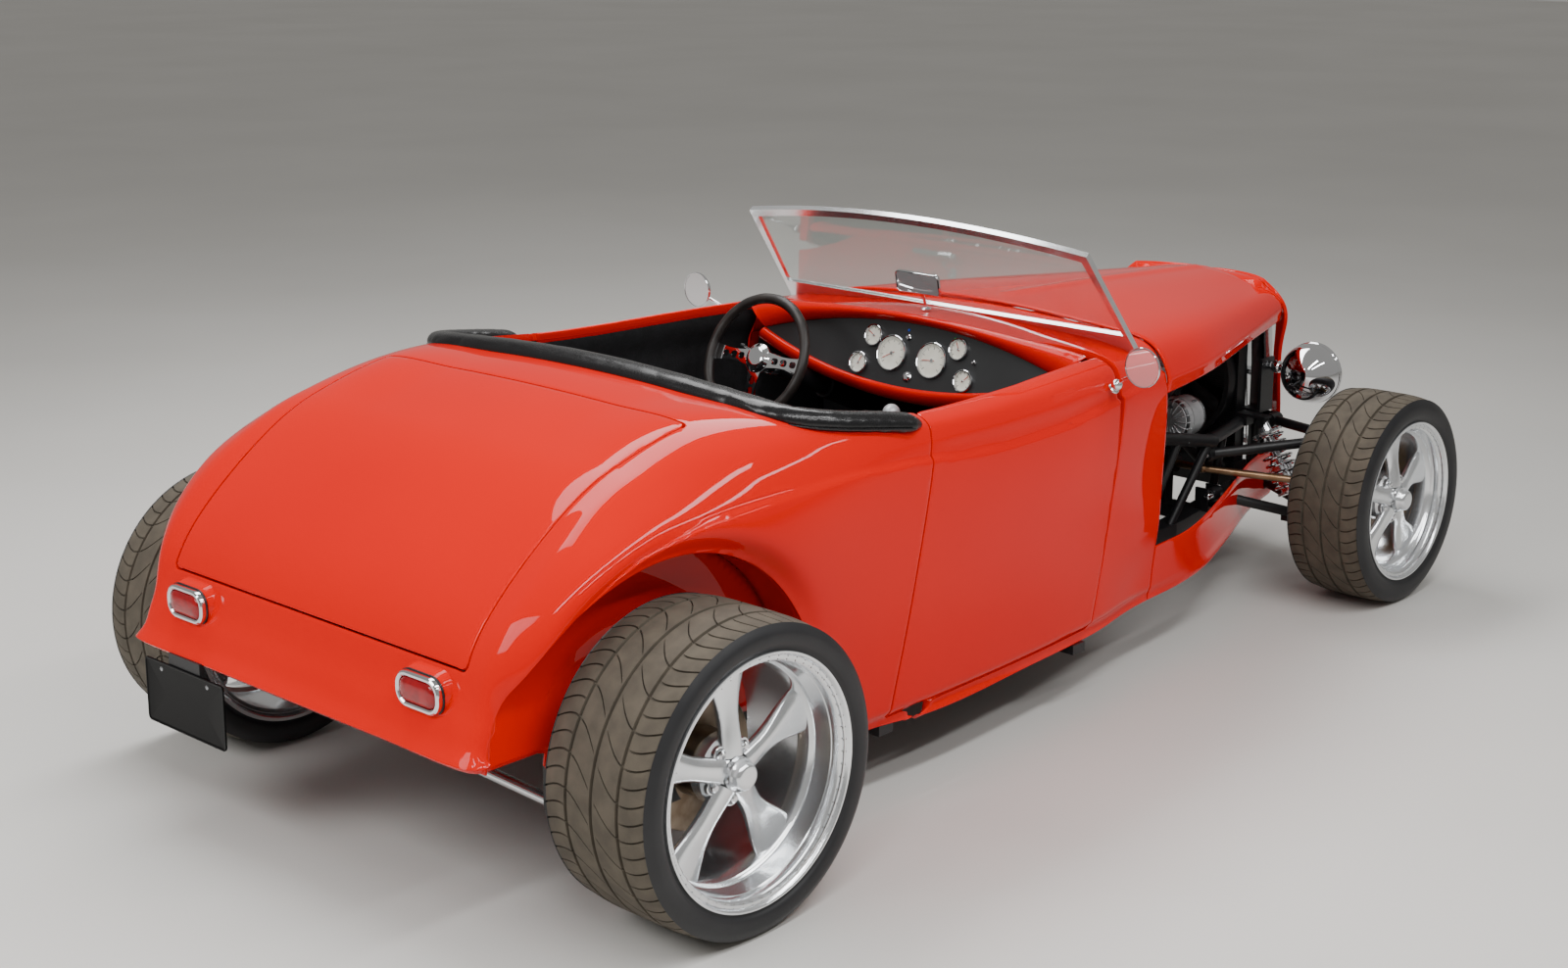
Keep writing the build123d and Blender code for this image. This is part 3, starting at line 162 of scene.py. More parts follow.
# Sprayed satin panel paint on the dash: charcoal, almost no texture.
makeFinish("dashSatinPainted", "#1d1e1f", "#242526", rough=(0.4, 0.5), cloud=200, grain=1.2, depth=0.02)
# Loop-pile carpet and trim board inside the cabin.
makeFinish("carpetBlackTufted", "#0f0f11", "#1a1a1d", rough=(0.85, 1.0), cloud=30, grain=3.5, depth=0.9)
# Wrapped leather on the steering wheel's rim.
makeFinish("leatherWrapped", "#1c1715", "#2a2320", rough=(0.38, 0.52), cloud=40, grain=1.4, depth=0.1)
# Sand-cast aluminium as it left the mould: pale grey and slightly rough.
makeFinish("aluminiumCast", "#c9cbcd", "#b1b3b6", 0.35, rough=(0.3, 0.45), cloud=50, grain=1.8, depth=0.15)
# Heat-proof enamel on the iron block: dark with a dull gloss.
makeFinish("ironEnamelBlack", "#151517", "#1d1d20", rough=(0.35, 0.55), cloud=70, grain=2.5, depth=0.12)
# Turned and zinc-plated steel.
makeFinish("steelPlated", "#a9abae", "#8f9296", 1.0, rough=(0.22, 0.36), cloud=40, grain=1.5)
# Brass-plated rod, a little dulled.
makeFinish("brassPlated", "#a08268", "#8a6c50", 1.0, rough=(0.25, 0.4), cloud=45, grain=1.5)
# Blank plate, black gloss enamel on pressed sheet.
makeFinish("plateEnamelBlack", "#040405", "#060607", rough=(0.3, 0.4), cloud=200, grain=2,
           constants={"Specular IOR Level": 0.12})
# Silvered mirror glass, a little hazed.
makeFinish("glassSilvered", "#f1f3f4", "#eceff1", 0.7, rough=(0.01, 0.02), cloud=300, grain=6)
# Printed dial card: warm white, matt.
makeFinish("dialCardPrinted", "#e9e6da", "#dedacb", rough=(0.5, 0.6), cloud=30, grain=1)
# Ground iron brake disc, brown with first rust.
makeFinish("ironGround", "#8a7c6c", "#6f5f4e", 1.0, rough=(0.3, 0.5), cloud=40, grain=1.5)
# Gold-zinc plated caliper casting.
makeFinish("caliperGoldPlated", "#b98a3c", "#8f652a", 1.0, rough=(0.3, 0.45), cloud=35, grain=2, depth=0.1)
# Soft black rubber hose.
makeFinish("hoseRubberBlack", "#101012", "#161618", rough=(0.45, 0.6), cloud=60, grain=1.2, depth=0.05)
# Flat laminated glass, clear with a very weak green.
makeFinish("glassLaminatedClear", "#f6faf8", "#f6faf8", rough=(0.0, 0.01), cloud=500, grain=20,
           constants={"Transmission Weight": 1.0, "IOR": 1.5})
# Pressed lamp glass, fluted.
makeFinish("glassPressedFluted", "#f2f4f5", "#eef0f2", rough=(0.02, 0.06), cloud=60, grain=9, depth=0.6,
           stretch=(0.1, 1, 0.1), constants={"Transmission Weight": 0.85, "IOR": 1.5})
# Moulded red acrylic lens: saturated, wet-looking, with fine optics behind the face.
makeFinish("acrylicRedMoulded", "#a80512", "#8a030d", rough=(0.06, 0.12), cloud=20, grain=5, depth=0.2,
           constants={"Transmission Weight": 0.1, "IOR": 1.4, "Coat Weight": 0.4, "Coat Roughness": 0.02})
# Poured floor, pale and matt, outside the car.
makeFinish("floorPoured", "#d8d6d2", "#d2d0cc", rough=(0.55, 0.65), cloud=1800, grain=6)


def gridFaces(rows, columns, wrapRows=False, wrapColumns=False):
    # Quads over a grid of points, row by row, joined up round either way where asked.
    i = np.arange(rows if wrapRows else rows - 1)[:, None]
    j = np.arange(columns if wrapColumns else columns - 1)[None, :]
    iNext, jNext = (i + 1) % rows, (j + 1) % columns
    corners = [i * columns + j, iNext * columns + j, iNext * columns + jNext, i * columns + jNext]
    return np.stack(np.broadcast_arrays(*corners), -1).reshape(-1, 4)


def surface(points, wrapRows=False, wrapColumns=False, finish=0):
    # One grid surface as (points, faces, finish index).
    points = np.asarray(points, float)
    faces = gridFaces(points.shape[0], points.shape[1], wrapRows, wrapColumns)
    return points.reshape(-1, 3), faces, finish


def lathe(profile, centre, axis, steps=96, finish=0):
    # A profile of (along, radius) turned about an axis through centre.
    profile = np.asarray(profile, float)
    axis = np.asarray(axis, float) / np.linalg.norm(axis)
    side = np.cross(axis, (0.0, 0.0, 1.0) if abs(axis[2]) < 0.9 else (1.0, 0.0, 0.0))
    side /= np.linalg.norm(side)
    up = np.cross(side, axis)
    turn = np.linspace(0, 2 * np.pi, steps, endpoint=False)[:, None, None]
    ring = np.cos(turn) * side + np.sin(turn) * up
    points = np.asarray(centre, float) + profile[None, :, :1] * axis + ring * profile[None, :, 1:]
    return surface(points, wrapRows=True, finish=finish)


def sweepFrames(path):
    # Tangent, side and up at each point of a path, the side kept level.
    path = np.asarray(path, float)
    along = np.gradient(path, axis=0)
    along /= np.linalg.norm(along, axis=1, keepdims=True)
    guide = np.array([0.0, 0.0, 1.0]) if np.abs(along[:, 2]).max() < 0.97 else np.array([0.3, 1.0, 0.0])
    side = np.cross(along, guide)
    side /= np.linalg.norm(side, axis=1, keepdims=True)
    return along, side, np.cross(side, along)


def tube(path, radius, steps=12, finish=0, closed=False, capped=True):
    # A round section carried along a path; radius may change along it. Ends close to a point.
    path = np.asarray(path, float)
    radius = np.broadcast_to(np.asarray(radius, float), len(path)).copy()
    along, side, up = sweepFrames(path)
    if closed:
        along = np.roll(path, -1, axis=0) - np.roll(path, 1, axis=0)
        along /= np.linalg.norm(along, axis=1, keepdims=True)
        mean = np.cross(path - path.mean(0), along).mean(0)
        up = np.broadcast_to(mean / np.linalg.norm(mean), path.shape)
        side = np.cross(along, up)
    if capped and not closed:
        path = np.concatenate([path[:1], path, path[-1:]])
        radius = np.concatenate([[0], radius, [0]])
        side, up = np.concatenate([side[:1], side, side[-1:]]), np.concatenate([up[:1], up, up[-1:]])
    turn = np.linspace(0, 2 * np.pi, steps, endpoint=False)[None, :, None]
    ring = np.cos(turn) * side[:, None] + np.sin(turn) * up[:, None]
    points = path[:, None] + radius[:, None, None] * ring
    return surface(points, wrapRows=closed, wrapColumns=True, finish=finish)


def smoothPath(corners, count=40):
    # A path through a few corner points, rounded as a quadratic B-spline that keeps its ends.
    corners = np.asarray(corners, float)
    k = len(corners)
    knots = np.concatenate([[0, 0], np.arange(k - 1), [k - 2, k - 2]]).astype(float)
    x = np.linspace(0, k - 2 - 1e-9, count)
    basis = ((x[:, None] >= knots[None, :-1]) & (x[:, None] < knots[None, 1:])).astype(float)
    for degree in (1, 2):
        left, right = knots[:-degree - 1], knots[degree + 1:]
        spanA = np.where(knots[degree:-1] > left, knots[degree:-1] - left, 1)
        spanB = np.where(right > knots[1:len(right) + 1], right - knots[1:len(right) + 1], 1)
        basis = (x[:, None] - left) / spanA * basis[:, :-1] + (right - x[:, None]) / spanB * basis[:, 1:]
    return basis @ corners


def blockOf(low, high, finish=0):
    # Six faces between two corners, as a closed ring of four sides with two ends.
    (x0, y0, z0), (x1, y1, z1) = low, high
    middle = [(x0 + x1) / 2, (y0 + y1) / 2]
    rows = []
    for z, share in ((z0, 0), (z0, 1), (z1, 1), (z1, 0)):
        rows.append([[middle[0] + share * (x - middle[0]), middle[1] + share * (y - middle[1]), z]
                     for x, y in ((x0, y0), (x1, y0), (x1, y1), (x0, y1))])
    return surface(rows, wrapColumns=True, finish=finish)


def mirrored(piece):
    # The same surface on the car's other side: y changes sign and each face runs the other way.
    points, faces, finish = piece
    return points * np.array([1, -1, 1]), [row[::-1] for row in listOf(faces)], finish


def listOf(faces):
    return faces.tolist() if hasattr(faces, "tolist") else faces


def bothSides(pieces):
    return pieces + [mirrored(piece) for piece in pieces]


def placeOn(at, across, up, out):
    # A function from (across, up, out of it) in mm to places on a plane that passes through at.
    at, across, up, out = (np.asarray(v, float) for v in (at, across, up, out))

    def place(a, b, n):
        a, b, n = (np.asarray(v, float)[..., None] for v in (a, b, n))
        return at + a * across + b * up + n * out
    return place


def buildPiece(name, pieces, body, materials, replaces=(), thick=0.0, bevel=0.0, angle=35,
               subdivide=0, recalc=True, weld=0.02):
    # One object from several surfaces: points to metres, doubles merged so that poles and
    # seams close, faces turned out, then a wall and rounded edges where asked.
    starts = np.cumsum([0] + [len(points) for points, _, _ in pieces[:-1]])
    points = placed(np.concatenate([points for points, _, _ in pieces]))
    faces = [[[corner + int(start) for corner in row] for row in listOf(f)]
             for (_, f, _), start in zip(pieces, starts)]
    mesh = bpy.data.meshes.new(name)
    mesh.from_pydata(points.tolist(), [], [row for f in faces for row in f])
    index = np.concatenate([np.full(len(f), finish) for f, (_, _, finish) in zip(faces, pieces)])
    mesh.polygons.foreach_set("material_index", index.astype(np.int32))
    work = bmesh.new()
    work.from_mesh(mesh)
    if weld:
        bmesh.ops.remove_doubles(work, verts=work.verts, dist=weld / 1000)
    if recalc:
        bmesh.ops.recalc_face_normals(work, faces=work.faces)
    work.to_mesh(mesh)
    work.free()
    for material in ([materials] if isinstance(materials, str) else materials):
        mesh.materials.append(finishes[material])
    piece = bpy.data.objects.new(name, mesh)
    bpy.context.scene.collection.objects.link(piece)
    if thick:
        wall = piece.modifiers.new("wall", "SOLIDIFY")
        wall.thickness, wall.offset, wall.use_even_offset = thick / 1000, -1, False
    if bevel:
        edge = piece.modifiers.new("edge", "BEVEL")
        edge.width, edge.segments, edge.limit_method = bevel / 1000, 2, "ANGLE"
        edge.angle_limit, edge.harden_normals = math.radians(50), False
    if subdivide:
        smooth = piece.modifiers.new("smooth", "SUBSURF")
        smooth.levels = smooth.render_levels = subdivide
    mesh.shade_smooth()
    mesh.set_sharp_from_angle(angle=math.radians(angle))
    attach(piece, body)
    if replaces:
        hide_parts(*replaces)
    return piece


print("stage: tools and finishes")

# The body's skin. Columns: along (fan angle times 8.38 mm, then s), foot y, foot h, belt y,
# belt h, top y, top h, crown h. Heights are from the fan's pivot.
bodyTable = np.array([
    (-90, 636, 300, 616, 440, 560, 478, 480), (-79, 650, 280, 630, 400, 530, 437, 439),
    (-68, 668, 240, 655, 392, 512, 434, 437), (-46, 690, 180, 684, 384, 508, 426, 431),
    (-25, 702, 120, 700, 384, 508, 438, 444), (0, 706, 60, 706, 394, 506, 497, 504),
    (220, 690, -208, 714, 407, 512, 550, 558), (470, 668, -232, 722, 414, 640, 524, 570),
    (800, 664, -234, 722, 410, 690, 484, 554), (1200, 656, -234, 704, 400, 664, 478, 537),
    (1560, 630, -233, 668, 396, 622, 478, 528), (1880, 592, -228, 612, 382, 540, 478, 518),
], float)
body = {
    "pivotZ": 408.0, "fanMm": 8.38, "sideBulge": 0.012, "shoulderBulge": 0.125,
    "archS": -10.0, "archZ": 329.0, "archR": 425.0, "archWallY": 585.0,
    "lidHalf": 508.0, "lidFront": 218.0, "lidTilt": 68.0, "gap": 5.0,
    "doorLowS": 700.0, "doorLowZ": 200.0, "doorHighS": 788.0, "doorHighZ": 886.0, "doorLength": 835.0,
    "hingeY": 730.0,
}
# Belt crease's lower line. Columns: s, z
beltLine = np.array([(-420, 560), (-300, 655), (-230, 706), (-160, 749), (-98, 775), (-7, 795), (86, 809),
                     (182, 817), (331, 826), (487, 829), (651, 822), (811, 811), (853, 802), (1078, 786),
                     (1326, 784), (1589, 799), (1772, 812), (1900, 818)], float)


def naturalSpline(knots, values, x):
    # Cubic spline through rows of values at the knots, with no bend at its ends.
    h = np.diff(knots)
    n = len(knots)
    matrix, right = np.eye(n), np.zeros_like(values)
    inner = np.arange(1, n - 1)
    matrix[inner, inner - 1], matrix[inner, inner + 1] = h[:-1], h[1:]
    matrix[inner, inner] = 2 * (h[:-1] + h[1:])
    slope = np.diff(values, axis=0) / h[:, None]
    right[1:-1] = 6 * np.diff(slope, axis=0)
    bend = np.linalg.solve(matrix, right)
    k = np.clip(np.searchsorted(knots, x) - 1, 0, n - 2)
    u, w = (x - knots[k])[..., None], (knots[k + 1] - x)[..., None]
    step = h[k][..., None]
    return ((bend[k] * w ** 3 + bend[k + 1] * u ** 3) / (6 * step)
            + (values[k] / step - bend[k] * step / 6) * w
            + (values[k + 1] / step - bend[k + 1] * step / 6) * u)


def throughPoints(controls, t):
    # Catmull-Rom curve with centripetal spacing through the controls (n, ..., 2); t counts
    # them from the second to the last but one.
    k = np.clip(t.astype(int), 0, len(controls) - 4)
    f = (t - k)[..., None]
    rows = np.arange(controls.shape[1])
    p0, p1, p2, p3 = (controls[k + i, rows] for i in range(4))
    d0, d1, d2 = (np.sqrt(np.linalg.norm(b - a, axis=-1, keepdims=True)) + 1e-6
                  for a, b in ((p0, p1), (p1, p2), (p2, p3)))
    m1 = (p1 - p0) / d0 - (p2 - p0) / (d0 + d1) + (p2 - p1) / d1
    m2 = (p2 - p1) / d1 - (p3 - p1) / (d1 + d2) + (p3 - p2) / d2
    m1, m2 = m1 * d1, m2 * d1
    return ((2 * f ** 3 - 3 * f ** 2 + 1) * p1 + (f ** 3 - 2 * f ** 2 + f) * m1
            + (-2 * f ** 3 + 3 * f ** 2) * p2 + (f ** 3 - f ** 2) * m2)


def sectionPoints(table, along, t, sideBulge, shoulderBulge):
    # Half section at each place: foot, side, belt, shoulder, top, crown, as t goes 0 to 6, and
    # on over the centre line to 12.
    row = naturalSpline(table[:, 0], table[:, 1:], along)
    footY, footH, beltY, beltH, topY, topH, crownH = (row[:, i] for i in range(7))
    foot, belt, top = (np.stack(p, -1) for p in ((footY, footH), (beltY, beltH), (topY, topH)))
    sideMid = (foot + belt) / 2 + np.stack([sideBulge * (belt - foot)[:, 1],
                                            -sideBulge * (belt - foot)[:, 0]], -1)
    bend = shoulderBulge * np.stack([(top - belt)[:, 1], -(top - belt)[:, 0]], -1)
    shoulder = (belt + top) / 2 + bend
    crownSide = np.stack([topY * 0.52, crownH - (crownH - topH) * 0.27], -1)
    crown = np.stack([0 * crownH, crownH], -1)
    half = [2 * foot - sideMid, foot, sideMid, belt, shoulder, top, crownSide, crown]
    flip = np.array([-1.0, 1.0])
    return throughPoints(np.stack(half + [p * flip for p in half[-2::-1]]), t)


def plainSkin(along, t):
    # The skin before its creases: the section stood up in its fan plane or upright.
    shape = along.shape
    along, t = along.ravel(), t.ravel()
    table = bodyTable.copy()
    table[:6, 0] *= body["fanMm"]
    yh = sectionPoints(table, along, t, body["sideBulge"], body["shoulderBulge"])
    tilt = np.radians(np.clip(-along / body["fanMm"], 0, 92))
    s = np.maximum(along, 0) - yh[:, 1] * np.sin(tilt)
    z = body["pivotZ"] + yh[:, 1] * np.cos(tilt)
    return np.stack([s, -yh[:, 0], z], -1).reshape(*shape, 3)


def skinRelief(points):
    # How far creases stand out of the plain skin: the belt bead, the arch's rolled lip, the
    # sill's roll and the cowl's lower flare. All are smooth bumps of the distance to their line.
    s, y, z = points[..., 0], np.abs(points[..., 1]), points[..., 2]
    above = z - np.interp(s, beltLine[:, 0], beltLine[:, 1])
    outside = smoothStep((y - 560) / 60)
    tall = 44 - 18 * smoothStep((s - 500) / 900)
    reach = np.where(s > 250, tall + 55, tall + 55 + (250 - s) * 0.25)
    bead = smoothStep(above / 9 + 0.5) * (1 - smoothStep((above - tall * 0.55) / (reach - tall * 0.55)))
    bead = 9 * bead * smoothStep((s + 330) / 260)
    ring = np.hypot(s - body["archS"], z - body["archZ"]) - body["archR"]
    angle = np.degrees(np.arctan2(z - body["archZ"], s - body["archS"]))
    fade = smoothStep((angle - 8) / 45) * smoothStep((z - 380) / 60)
    lip = 26 * np.exp(-(np.maximum(ring, 0) / 34) ** 2) * fade
    sill = 13 * np.exp(-((z - 192) / 19.0) ** 4) * smoothStep((s - 380) / 60) * smoothStep((2100 - s) / 60)
    flare = 16 * smoothStep((s - 1560) / 320) * smoothStep((420 - z) / 200)
    tail = 7 * np.exp(-((z - 436) / 26.0) ** 2) * smoothStep((-s - 380) / 60)
    return (bead + lip + sill + flare) * outside + tail


def skinPoint(along, t):
    # The finished skin: the plain one moved out along its own normal by the relief.
    point = plainSkin(along, t)
    d = 2.0
    byAlong = plainSkin(along + d, t) - plainSkin(along - d, t)
    byT = plainSkin(along, t + 0.01) - plainSkin(along, t - 0.01)
    normal = np.cross(byT, byAlong)
    normal /= np.linalg.norm(normal, axis=-1, keepdims=True) + 1e-9
    return point + normal * skinRelief(point)[..., None]


def roundMax(radius, *fields):
    # Largest of several distance fields, with the corners between them rounded.
    total = fields[0]
    for field in fields[1:]:
        h = np.clip(0.5 + 0.5 * (total - field) / radius, 0, 1)
        total = field + (total - field) * h + radius * h * (1 - h) * 0.5
    return total


def lidField(p):
    # Distance outside the deck lid's outline.
    s, y, z = p[..., 0], np.abs(p[..., 1]), p[..., 2]
    a = math.radians(body["lidTilt"])
    foot = (s * math.cos(a) + (z - body["pivotZ"]) * math.sin(a))
    bow = 12 * (y / body["lidHalf"]) ** 2
    front = s - (body["lidFront"] + 6 - bow)
    return roundMax(26, y - body["lidHalf"], front, -foot)


def doorField(p):
    # Distance outside the door's outline: leaning rear line, arc front line, level foot.
    s, y, z = p[..., 0], np.abs(p[..., 1]), p[..., 2]
    lean = math.atan2(body["doorHighS"] - body["doorLowS"], body["doorHighZ"] - body["doorLowZ"])
    across = (s - body["doorLowS"]) * math.cos(lean) - (z - body["doorLowZ"]) * math.sin(lean)
    front = np.hypot(across, y - body["hingeY"]) - body["doorLength"]
    return roundMax(18, -across, front, body["doorLowZ"] - z)


def railY(s):
    # Half width of the cockpit's inner edge.
    return np.interp(s, [430, 450, 560, 800, 1200, 1560, 1600], [500, 537, 607, 657, 631, 589, 585])


def cockpitField(p):
    # Distance outside the cockpit's opening in the skin.
    s, y = p[..., 0], np.abs(p[..., 1])
    return roundMax(60, y - railY(s), 442 - s, s - 1562)


def archField(p):
    return np.hypot(p[..., 0] - body["archS"], p[..., 2] - body["archZ"]) - body["archR"]


def cutPanel(pointOf, along, t, field):
    # The part of a surface where field is below 0, cut exactly along its zero line: vertices
    # near the line slide onto it, quads split so that no triangle crosses it.
    a, u = (g.copy() for g in np.meshgrid(along, t, indexing="ij"))
    rows, columns = a.shape
    for i in range(3):
        p = pointOf(a, u)
        value = field(p)
        if i == 0:
            sign = np.sign(value)
            near = np.zeros_like(a, bool)
            for axis in (0, 1):
                one = [slice(None), slice(None)]
                two = [slice(None), slice(None)]
                one[axis], two[axis] = slice(None, -1), slice(1, None)
                one, two = tuple(one), tuple(two)
                crossing = sign[one] * sign[two] < 0
                closer = np.abs(value[one]) <= np.abs(value[two])
                near[one] |= crossing & closer
                near[two] |= crossing & ~closer
        slopeA, slopeU = np.gradient(value, axis=0), np.gradient(value, axis=1)
        stepA, stepU = np.gradient(a, axis=0), np.gradient(u, axis=1)
        size = slopeA ** 2 + slopeU ** 2 + 1e-9
        move = np.clip(-value / size, -0.9, 0.9) * near
        a += np.clip(move * slopeA, -0.75, 0.75) * stepA
        u += np.clip(move * slopeU, -0.75, 0.75) * stepU
    p = pointOf(a, u)
    value = np.where(near, 0.0, field(p))
    quads = gridFaces(rows, columns)
    v = value.ravel()[quads]
    other = (v[:, 0] * v[:, 2] < 0) | ((v[:, 1] == 0) & (v[:, 3] == 0) & (v[:, 0] * v[:, 2] <= 0))
    first = np.where(other[:, None], quads[:, [0, 1, 3]], quads[:, [0, 1, 2]])
    second = np.where(other[:, None], quads[:, [1, 2, 3]], quads[:, [0, 2, 3]])
    faces = []
    whole = (v < 0).all(1)
    split = ~whole & (v <= 0).any(1)
    for triangles in (first[split], second[split]):
        tv = value.ravel()[triangles]
        centre = field(p.reshape(-1, 3)[triangles].mean(1))
        keep = (tv.max(1) <= 0) & ((tv.min(1) < 0) | (centre < 0))
        faces.append(triangles[keep])
    triangles = np.concatenate(faces)
    used, packed = np.unique(np.concatenate([quads[whole].ravel(), triangles.ravel()]), return_inverse=True)
    nWhole = whole.sum() * 4
    faces = packed[:nWhole].reshape(-1, 4).tolist() + packed[nWhole:].reshape(-1, 3).tolist()
    return p.reshape(-1, 3)[used], faces


def spaced(*spans):
    # Values along several spans, each given as (from, to, count).
    return np.unique(np.concatenate([np.linspace(a, b, n + 1) for a, b, n in spans]))


alongTail = spaced((-90 * body["fanMm"], 0, 70), (0, 1880, 172))
tHalf = spaced((0, 2, 60), (2, 4, 26), (4, 6, 46))
tFull = np.unique(np.concatenate([tHalf, 12 - tHalf]).round(9))


def shellField(p):
    # Distance outside the shell: everything but lid, doors, cockpit and arches.
    gap = body["gap"] / 2
    return roundMax(14, gap - lidField(p), gap - doorField(p), -cockpitField(p), -archField(p))


def panelPiece(name, field, rides, replaces, along, t, pointOf=skinPoint,
               finish="redEnamelClearcoated", thick=20.0):
    # One body panel: the skin inside its outline, with a wall of its own and slightly rounded edges.
    points, faces = cutPanel(pointOf, along, t, field)
    return buildPiece(name, [(points, faces, 0)], rides, finish, replaces, thick=thick, bevel=1.6,
                      recalc=False, weld=0, angle=180)


panelPiece("shellSkin", shellField, "car", ["body_shell"], alongTail, tFull)
panelPiece("deckLidSkin", lambda p: lidField(p) + body["gap"] / 2, "deck_lid", ["deck_lid"],
           alongTail[alongTail < 260], tFull[(tFull > 3) & (tFull < 9)])
doorSpan = alongTail[(alongTail > 660) & (alongTail < 1600)]
for side, span in (("right", tHalf[tHalf < 5.4]), ("left", 12 - tHalf[tHalf < 5.4][::-1])):
    panelPiece(f"doorSkin_{side}", lambda p: roundMax(6, doorField(p) + body["gap"] / 2,
                                                      railY(p[..., 0]) - np.abs(p[..., 1])),
               f"door_{side}", [f"door_{side}"], doorSpan, span)
print("stage: body panels")

# Insides of the body: wheelhouses, the rolled edge round the dash, door tops and trim boards.
inside = {
    "wellLow": 309.0, "wellRear": 172.0, "slotHalf": 70.0, "slotHigh": 440.0, "cardLow": 262.0,
    "cardIn": 44.0, "lipDrop": 40.0, "cowlEdge": 1562.0, "lipBelow": 30.0,
}


def skinAt(s, y):
    # Height of the skin over (s, |y|) on its upper half, found between rows of the t grid.
    t = np.linspace(4.0, 6.0, 120)
    p = skinPoint(np.repeat(s[:, None], len(t), 1), np.repeat(t[None], len(s), 0))
    k = np.argmax(np.abs(p[..., 1]) < np.maximum(np.abs(y), 4)[:, None], axis=1).clip(1)
    row = np.arange(len(s))
    a, b = p[row, k - 1], p[row, k]
    share = (np.abs(a[:, 1]) - np.abs(y)) / (np.abs(a[:, 1]) - np.abs(b[:, 1]) + 1e-9)
    return a[:, 2] + share.clip(0, 1) * (b[:, 2] - a[:, 2])


def edgePoints(y):
    # The cockpit's front edge at each y: s by halving where the opening's field is zero.
    low, high = np.full(len(y), 1380.0), np.full(len(y), inside["cowlEdge"] + 1)
    for i in range(24):
        middle = (low + high) / 2
        inner = cockpitField(np.stack([middle, y, 0 * y], -1)) < 0
        low, high = np.where(inner, middle, low), np.where(inner, high, middle)
    return np.stack([low, y, skinAt(low, y)], -1)


# Wheelhouse roof: a band of the arch's circle from the skin's edge in to the wall.
a, u = np.meshgrid(alongTail[alongTail < 520], tHalf[tHalf < 4.5], indexing="ij")
near = skinPoint(a, u).reshape(-1, 3)
near = near[(np.abs(archField(near)) < 6) & (near[:, 2] > 300)]
nearAngle = np.arctan2(near[:, 2] - body["archZ"], near[:, 0] - body["archS"])
order = np.argsort(nearAngle)
turn = np.radians(np.linspace(-2.6, inside["wellRear"], 72))
edgeY = np.interp(turn, nearAngle[order], np.abs(near[order, 1])) - 7
share = np.linspace(0, 1, 8)
acrossY = -(edgeY[:, None] + (body["archWallY"] - edgeY[:, None]) * share[None])
circle = np.stack([body["archS"] + (body["archR"] + 1) * np.cos(turn),
                   body["archZ"] + (body["archR"] + 1) * np.sin(turn)], -1)
roof = np.stack([np.broadcast_to(circle[:, :1], acrossY.shape), acrossY,
                 np.broadcast_to(circle[:, 1:], acrossY.shape)], -1)


def wellWallField(p):
    # Inside the circle, above the sill and outside the axle's slot.
    s, z = p[..., 0], p[..., 2]
    slot = roundMax(30, np.abs(s) - inside["slotHalf"], z - inside["slotHigh"])
    rear = math.radians(inside["wellRear"])
    low = np.where(s < body["archS"] - body["archR"] * 0.6,
                   body["archZ"] + body["archR"] * math.sin(rear) - z, inside["wellLow"] - z)
    return np.maximum(roundMax(4, archField(p) - 1, -slot), low)


wallPoints, wallFaces = cutPanel(lambda s, z: np.stack([s, 0 * s - body["archWallY"], z], -1),
                                 spaced((-440, 420, 52)), spaced((300, 760, 28)), wellWallField)
buildPiece("wheelhouses", bothSides([surface(roof), (wallPoints, wallFaces, 0)]), "car",
           "redEnamelClearcoated", thick=5, recalc=False, weld=0)

# Dash surround: a rolled edge from the cowl's cut down to the dash, and a lip under the dash.
dash = {"s": 1572.0, "z": 822.0, "lean": 18.0, "half": 520.0, "up": 86.4, "down": 98.0, "face": 22.0}
dashRight = np.array([0.0, -1.0, 0.0])
dashNormal = np.array([-math.cos(math.radians(dash["lean"])), 0, math.sin(math.radians(dash["lean"]))])
dashUp = np.array([math.sin(math.radians(dash["lean"])), 0, math.cos(math.radians(dash["lean"]))])


# Places on the dash: x to the right, h up its face, n out of it
onDash = placeOn((dash["s"], 0, dash["z"]), dashRight, dashUp, dashNormal)


def arcHeight(x, rise, foot):
    # Circular arc over a chord of twice dash half, standing rise at the middle and foot at its ends.
    tall = rise - foot
    radius = (dash["half"] ** 2 + tall ** 2) / (2 * tall)
    return foot + np.sqrt(radius ** 2 - np.minimum(np.abs(x), dash["half"]) ** 2) - (radius - tall)


def bent(a, b, c, d, count):
    # Cubic Bezier between rows a and d, pulled toward b and c.
    v = np.linspace(0, 1, count)[:, None, None]
    return (1 - v) ** 3 * a + 3 * (1 - v) ** 2 * v * b + 3 * (1 - v) * v * v * c + v ** 3 * d


x = dash["half"] * np.sin(np.linspace(-np.pi / 2, np.pi / 2, 121))
upper, lower = arcHeight(x, dash["up"], 6), -arcHeight(x, dash["down"], 6)
topEdge = edgePoints(-x * 578 / dash["half"])
inner = onDash(x, upper - 3, dash["face"] + 1)
roll = bent(inner, inner + dashNormal * 30 + dashUp * 6, topEdge + [-30, 0, -2], topEdge + [3, 0, -1], 16)
lipTop = onDash(x, lower + 3, dash["face"] + 1)
lipEnd = onDash(x * 1.06, lower - inside["lipBelow"], -30)
lip = bent(lipTop, lipTop + dashNormal * 22, onDash(x * 1.06, lower - inside["lipBelow"], 26), lipEnd, 14)
buildPiece("dashSurround", [surface(roll), surface(lip[:, ::-1])], "car", "redEnamelClearcoated",
           thick=3, recalc=False, weld=0, angle=180)

# Door tops: the skin's inner edge rolled down into the cabin. Trim boards hang inside it.
rowsS = spaced((690, 1580, 90))


